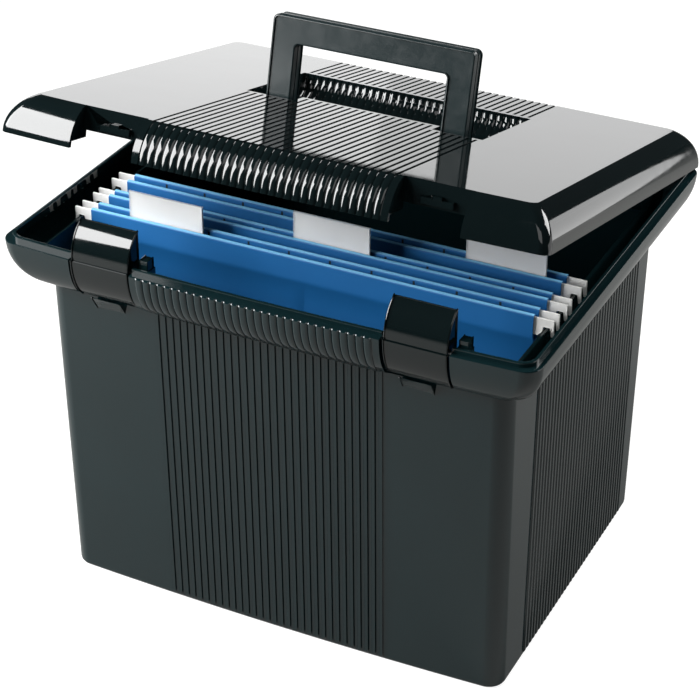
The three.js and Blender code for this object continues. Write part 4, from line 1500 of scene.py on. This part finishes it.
@dataclass
class Folder:
    """One hanging folder: a card jacket folded over two hooked bars, with a tab on its front bar."""

    name: str
    bars: tuple[float, float]
    tab_x: float
    seed: int
    bar_top: float = 248.0
    bar_length: float = 323.4
    bar: float = 1.2
    bar_height: float = 11.5
    rail_x: float = 157.2
    rail_z: float = 242.4
    notch: float = 5.6
    tip_drop: float = 5.6
    width: float = 298.5
    height: float = 235.0
    card: float = 0.8
    gap: float = 0.3
    fold: float = 3.4
    slot_pitch: float = 27.8
    slot: Span = (1.4, 4.0)
    tab: tuple[float, float, float] = (52.0, 2.1, 23.0)
    tab_top: float = 266.5
    skin: float = 0.5
    label: Span = (0.5, 18.0)

    def sleeve(self, y: float, foot: float, top: float) -> list[Corner]:
        """The outside of the sleeve round one bar, from its rear foot over its top to its front foot.

        Args:
            y: Middle of the bar.
            foot: Height of its foot.
            top: Height of its top.

        Returns:
            The corners in order.
        """
        out = self.bar / 2 + self.gap + self.card
        soft = 1.2
        return [(y + self.card / 2, foot - 4, 0), (y + out, foot, 0), (y + out, top, soft),
                (y - out, top, soft), (y - out, foot, 0), (y - self.card / 2, foot - 4, 0)]

    def ripple(self, obj: Solid, low: float, high: float) -> None:
        """Bends the card's panels a little, as card that hangs does, and leaves its sleeves straight.

        Args:
            obj: The solid.
            low: Height of the bottom of the panels.
            high: Height of their top.
        """
        phase = self.seed * 1.7
        for vertex in obj.data.vertices:
            x, _, z = vertex.co
            share = max(0.0, min(1.0, (high - z) / (high - low)))
            hang = math.sin(math.pi * share)
            vertex.co.y += (0.35 * hang * math.sin(x / 41 + phase)
                            + 0.2 * hang * math.sin(x / 17 + z / 60 + phase))

    def jacket(self) -> Solid:
        """Makes the card jacket, open at the top between its two sleeves.

        Returns:
            The jacket.
        """
        front, rear = self.bars
        top = self.bar_top + self.gap + self.card
        foot = self.bar_top - self.bar_height - self.gap - self.card
        bottom = top - self.height
        middle = (front + rear) / 2
        fold, card = self.fold, self.card
        outline = rounded([(middle - fold, bottom, 0.6), (middle + fold, bottom, 0.6),
                           *self.sleeve(rear, foot, top), (middle + fold - card, bottom + card, 0),
                           (middle - fold + card, bottom + card, 0),
                           *self.sleeve(front, foot, top)], 4)
        half = self.width / 2
        places = [(x, 0.0) for x in np.linspace(-half, half, 41)]
        jacket = prism(f"card_jacket_{self.name}", resampled(outline, 14.0), places, Axis.X)
        inner = self.bar / 2 + self.gap
        for y in self.bars:
            hole = block("sleeve_hole", across(0, half + REACH), across(y, inner), (foot + card, top - card))
            combine(jacket, hole, Join.CUT)
        self.ripple(jacket, bottom + 6, foot - 4)
        return jacket

    def slots(self) -> Solid:
        """Short dark marks along the top of the rear sleeve: painted shade in place of the shade inside the
        tab slots.

        Returns:
            The marks, in one object.
        """
        face = self.bars[1] - self.bar / 2 - self.gap - self.card
        top = self.bar_top + self.gap + self.card
        count = int(self.width / self.slot_pitch)
        marks = None
        for i in range(count):
            x = (i - (count - 1) / 2) * self.slot_pitch
            mark = block(f"tab_slot_shade_{self.name}", across(x, self.slot[0] / 2), (face - 0.12, face + 0.4),
                         (top - 1 - self.slot[1], top - 1), 0.1)
            marks = mark if marks is None else combine(marks, mark, Join.ADD)
        return marks

    def hanger(self, number: int, y: float) -> Solid:
        """Makes one bar with a hook at each end, whose notch drops over the rail.

        Args:
            number: Which bar it is, from the front.
            y: Middle of the bar.

        Returns:
            The bar.
        """
        half = self.bar_length / 2
        notch = across(self.rail_x, self.notch / 2)
        high = self.rail_z + self.gap
        tip = high - self.tip_drop
        foot = self.bar_top - self.bar_height
        right = [(self.width / 2 - 4, foot, 0), (notch[0] - 2.5, foot, 0.8), (notch[0], tip + 2, 0.8),
                 (notch[0] + 0.8, high, 0.6), (notch[1] - 0.8, high, 0.6), (notch[1], tip, 0.3),
                 (half, tip, 0.5), (half, self.bar_top, 0.6)]
        left = [(-x, z, r) for x, z, r in reversed(right)]
        return prism(f"hanger_bar_{self.name}_{number}", rounded([*right, *left], 4),
                     edge_stations(across(y, self.bar / 2), 0.3, 3), Axis.Y)

    def tab_pieces(self) -> tuple[Solid, Solid]:
        """Makes the clear tab holder and the blank card in it.

        Returns:
            The holder and the card.
        """
        wide, thick, high = self.tab
        y = self.bars[0] + self.bar / 2 + 2 * self.gap + self.card
        holder = block(f"tab_holder_{self.name}", across(self.tab_x, wide / 2), (y, y + thick),
                       (self.tab_top - high, self.tab_top), 0.35)
        low = self.tab_top - self.skin - self.gap - self.label[1]
        pocket = block("pocket", across(self.tab_x, wide / 2 + REACH), (y + self.skin, y + thick - self.skin),
                       (low - self.gap, self.tab_top - self.skin), 0.2)
        combine(holder, pocket, Join.CUT)
        card = block(f"tab_card_{self.name}", across(self.tab_x, wide / 2 - 0.5),
                     across(y + thick / 2, self.label[0] / 2), (low, low + self.label[1]), 0.1)
        return holder, card

    def dress(self, drawing: Drawing, finishes: Finishes) -> None:
        """Builds every piece of the folder and places it.

        Args:
            drawing: The part's drawing frame.
            finishes: The finishes to dress it in.
        """
        body = f"folder_{self.name}"
        drawing.place(self.jacket(), body, [f"jacket_{self.name}"], "blue_card", finishes.card, sharp=50)
        # dark marks of painted shade where the tab slots are
        drawing.place(self.slots(), body, [], "blue_card", finishes.slot)
        for i, y in enumerate(self.bars, 1):
            drawing.place(self.hanger(i, y), body, [f"hanger_{self.name}_{i}"], "coated_bar", finishes.bar)
        holder, card = self.tab_pieces()
        drawing.place(holder, body, [f"tab_{self.name}"], "clear_plastic", finishes.vinyl)
        drawing.place(card, body, [f"label_{self.name}"], "white_card", finishes.label)


# ---- Studio ---------------------------------------------------------------------------------------------


@dataclass
class Softbox:
    """A soft light: a glowing rectangle or disc that faces a point."""

    name: str
    place: Vector
    target: Vector
    size: Span
    radiance: float
    colour: str = "#ffffff"
    round: bool = False

    def build(self) -> None:
        """Makes the light. Its power follows from its radiance and area."""
        light = bpy.data.lights.new(self.name, "AREA")
        light.shape = "ELLIPSE" if self.round else "RECTANGLE"
        light.size, light.size_y = self.size
        area = self.size[0] * self.size[1] * (math.pi / 4 if self.round else 1)
        light.energy = self.radiance * math.pi * area
        light.color = linear(self.colour)[:3]
        obj = bpy.data.objects.new(self.name, light)
        obj.location = self.place
        obj.rotation_mode = "QUATERNION"
        obj.rotation_quaternion = (self.place - self.target).to_track_quat("Z", "Y")
        obj.visible_camera = False
        bpy.context.scene.collection.objects.link(obj)


@dataclass
class Studio:
    """The camera, the floor and the soft lights round the tote."""

    azimuth: float = 25.9
    elevation: float = 31.1
    roll: float = 0.3
    distance: float = 1444.4
    aim_z: float = 143.6
    aim_right: float = -6.5
    aim_up: float = -0.8
    lens: float = 113.53
    sensor: float = 36.0
    floor_size: float = 14.0
    floor_colour: str = "#929290"
    floor_shade: str = "#8e8e8c"
    floor_mottle_mm: float = 400.0
    floor_lift: float = 0.82  # glow that only the lens sees
    surround: float = 0.04  # strength of the dim walls round the tote

    def camera(self, drawing: Drawing) -> None:
        """Makes the camera.

        Args:
            drawing: The part's drawing frame.
        """
        a, e, r = (math.radians(v) for v in (self.azimuth, self.elevation, self.roll))
        back = Vector((math.sin(a) * math.cos(e), -math.cos(a) * math.cos(e), math.sin(e)))
        level = Vector((math.cos(a), math.sin(a), 0))
        up = back.cross(level)
        right = level * math.cos(r) + up * math.sin(r)
        target = Vector((0, 0, self.aim_z)) + level * self.aim_right + up * self.aim_up
        data = bpy.data.cameras.new("camera")
        data.lens, data.sensor_width = self.lens, self.sensor
        data.clip_start, data.clip_end = 0.05, 60
        camera = bpy.data.objects.new("camera", data)
        turned = Matrix((right, back.cross(right), back)).transposed().to_4x4()
        place = drawing.matrix() @ (target + back * self.distance)
        camera.matrix_world = Matrix.Translation(place) @ turned
        bpy.context.scene.collection.objects.link(camera)
        bpy.context.scene.camera = camera

    def floor(self) -> None:
        """Makes the pale floor, a painted sheet with a faint unevenness."""
        half = self.floor_size / 2
        points = np.array([(-half, -half, 0), (half, -half, 0), (half, half, 0), (-half, half, 0)])
        floor = make_object("studio_floor", points, [[0, 1, 2, 3]])
        floor.data.materials.append(self.floor_paint())

    def floor_paint(self) -> Material:
        """Makes the floor's paint: matt grey to the tote, lifted near white where the lens looks at it.

        Returns:
            The material.
        """
        material, tree, where = new_material("matt_studio_floor")
        mottle = add_node(tree, "ShaderNodeTexNoise", {"Scale": per_mm(self.floor_mottle_mm), "Detail": 2.0},
                          {"Vector": where})
        colour = add_node(tree, "ShaderNodeMix", {6: linear(self.floor_colour), 7: linear(self.floor_shade)},
                          {"Factor": mottle.outputs["Fac"]}, data_type="RGBA")
        paint = add_node(tree, "ShaderNodeBsdfPrincipled", {"Roughness": 0.9},
                         {"Base Color": colour.outputs[2]})
        lift = add_node(tree, "ShaderNodeEmission",
                        {"Color": linear("#ffffff"), "Strength": self.floor_lift})
        lifted = add_node(tree, "ShaderNodeAddShader", links={0: paint.outputs[0], 1: lift.outputs[0]})
        path = add_node(tree, "ShaderNodeLightPath")
        close_material(tree, add_node(tree, "ShaderNodeMixShader", links={
            0: path.outputs["Is Camera Ray"], 1: paint.outputs[0], 2: lifted.outputs[0]}))
        return material

    def world(self) -> None:
        """Lights the surroundings: dim walls, and a paler backdrop where the lens looks straight at them."""
        world = bpy.data.worlds.new("studio")
        world.use_nodes = True
        tree = world.node_tree
        tree.nodes.clear()
        dim = add_node(tree, "ShaderNodeBackground", {"Color": linear("#dfe5ea"), "Strength": self.surround})
        pale = add_node(tree, "ShaderNodeBackground", {"Color": linear("#ffffff"), "Strength": 1.0})
        path = add_node(tree, "ShaderNodeLightPath")
        mixed = add_node(tree, "ShaderNodeMixShader", links={
            0: path.outputs["Is Camera Ray"], 1: dim.outputs[0], 2: pale.outputs[0]})
        add_node(tree, "ShaderNodeOutputWorld", links={"Surface": mixed.outputs[0]})
        bpy.context.scene.world = world

    def lights(self) -> None:
        """Makes the soft lights: backdrops, side banks, a wash on the floor, a round box and a fill."""
        boxes = [
            Softbox("backdrop_left", Vector((-1.75, 2.2, 0.45)), Vector((-1.75, 0, 0.45)), (1.7, 0.9), 2.1),
            Softbox("backdrop_right", Vector((-0.65, 2.2, 0.45)), Vector((-0.65, 0, 0.45)), (0.5, 0.9), 1.6),
            Softbox("left_bank", Vector((-0.9, -0.65, 0.82)), Vector((0.1, -0.15, 0.25)), (0.95, 0.85), 17.0),
            Softbox("right_bank", Vector((0.9, 0.25, 0.3)), Vector((0.0, 0.1, 0.25)), (0.7, 0.6), 1.4),
            Softbox("floor_wash", Vector((0.6, 0.5, 0.8)), Vector((0.45, 0.45, 0)), (0.5, 0.5), 11.0),
            Softbox("right_round", Vector((0.64, 0.85, 0.2)), Vector((0.17, 0, 0.3)), (0.42, 0.42), 2.0,
                    round=True),
            Softbox("front_fill", Vector((0.5, -1.2, 2.1)), Vector((0, 0, 0.2)), (1.4, 1.3), 1.55),
        ]
        for softbox in boxes:
            softbox.build()

    def build(self, drawing: Drawing) -> None:
        """Makes the whole studio.

        Args:
            drawing: The part's drawing frame.
        """
        self.camera(drawing)
        self.floor()
        self.world()
        self.lights()
        bpy.context.scene.view_settings.view_transform = "Standard"


# ---- Assembly -------------------------------------------------------------------------------------------


def joint_place(name: str, drawing: Drawing) -> Vector:
    """Where a joint of the frame is, in drawing millimetres."""
    joint = next(j for j in frame["joints"] if j["name"] == name)
    return drawing.matrix().inverted() @ Vector(joint["pos_m"])


def main() -> None:
    """Builds every sub-assembly round the frame, in order."""
    logging.basicConfig(level=logging.INFO, format="%(name)s: %(message)s")
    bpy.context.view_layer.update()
    finishes = Finishes.make()
    tub = Tub()
    drawing = Drawing.from_frame(tub)
    lid = Lid(tub)
    latches = []
    for side in ("left", "right"):
        pivot = joint_place(f"latch_{side}_pivot", drawing)
        latches.append(Latch(side, pivot.x, pivot.y, pivot.z))
    Studio().build(drawing)
    tub.dress(tub.build(latches), drawing, finishes)
    for latch in latches:
        node = f"latch_{latch.name}"
        drawing.place(latch.build(tub, lid), node, [node], "black_plastic", finishes.polish)
    drawing.place(lid.build(latches), "lid", ["lid"], "black_plastic", finishes.polish, lid.opened(),
                  sharp=18)
    drawing.place(Handle(lid).build(), "handle", ["handle"], "black_plastic", finishes.satin, lid.opened())
    for folder in (Folder("front", (-78.7, -70.2), -97.3, 1), Folder("middle", (-57.7, -50.5), 6.5, 2),
                   Folder("rear", (-35.0, -26.0), 112.0, 3)):
        folder.dress(drawing, finishes)


if __name__ == "__main__":
    main()
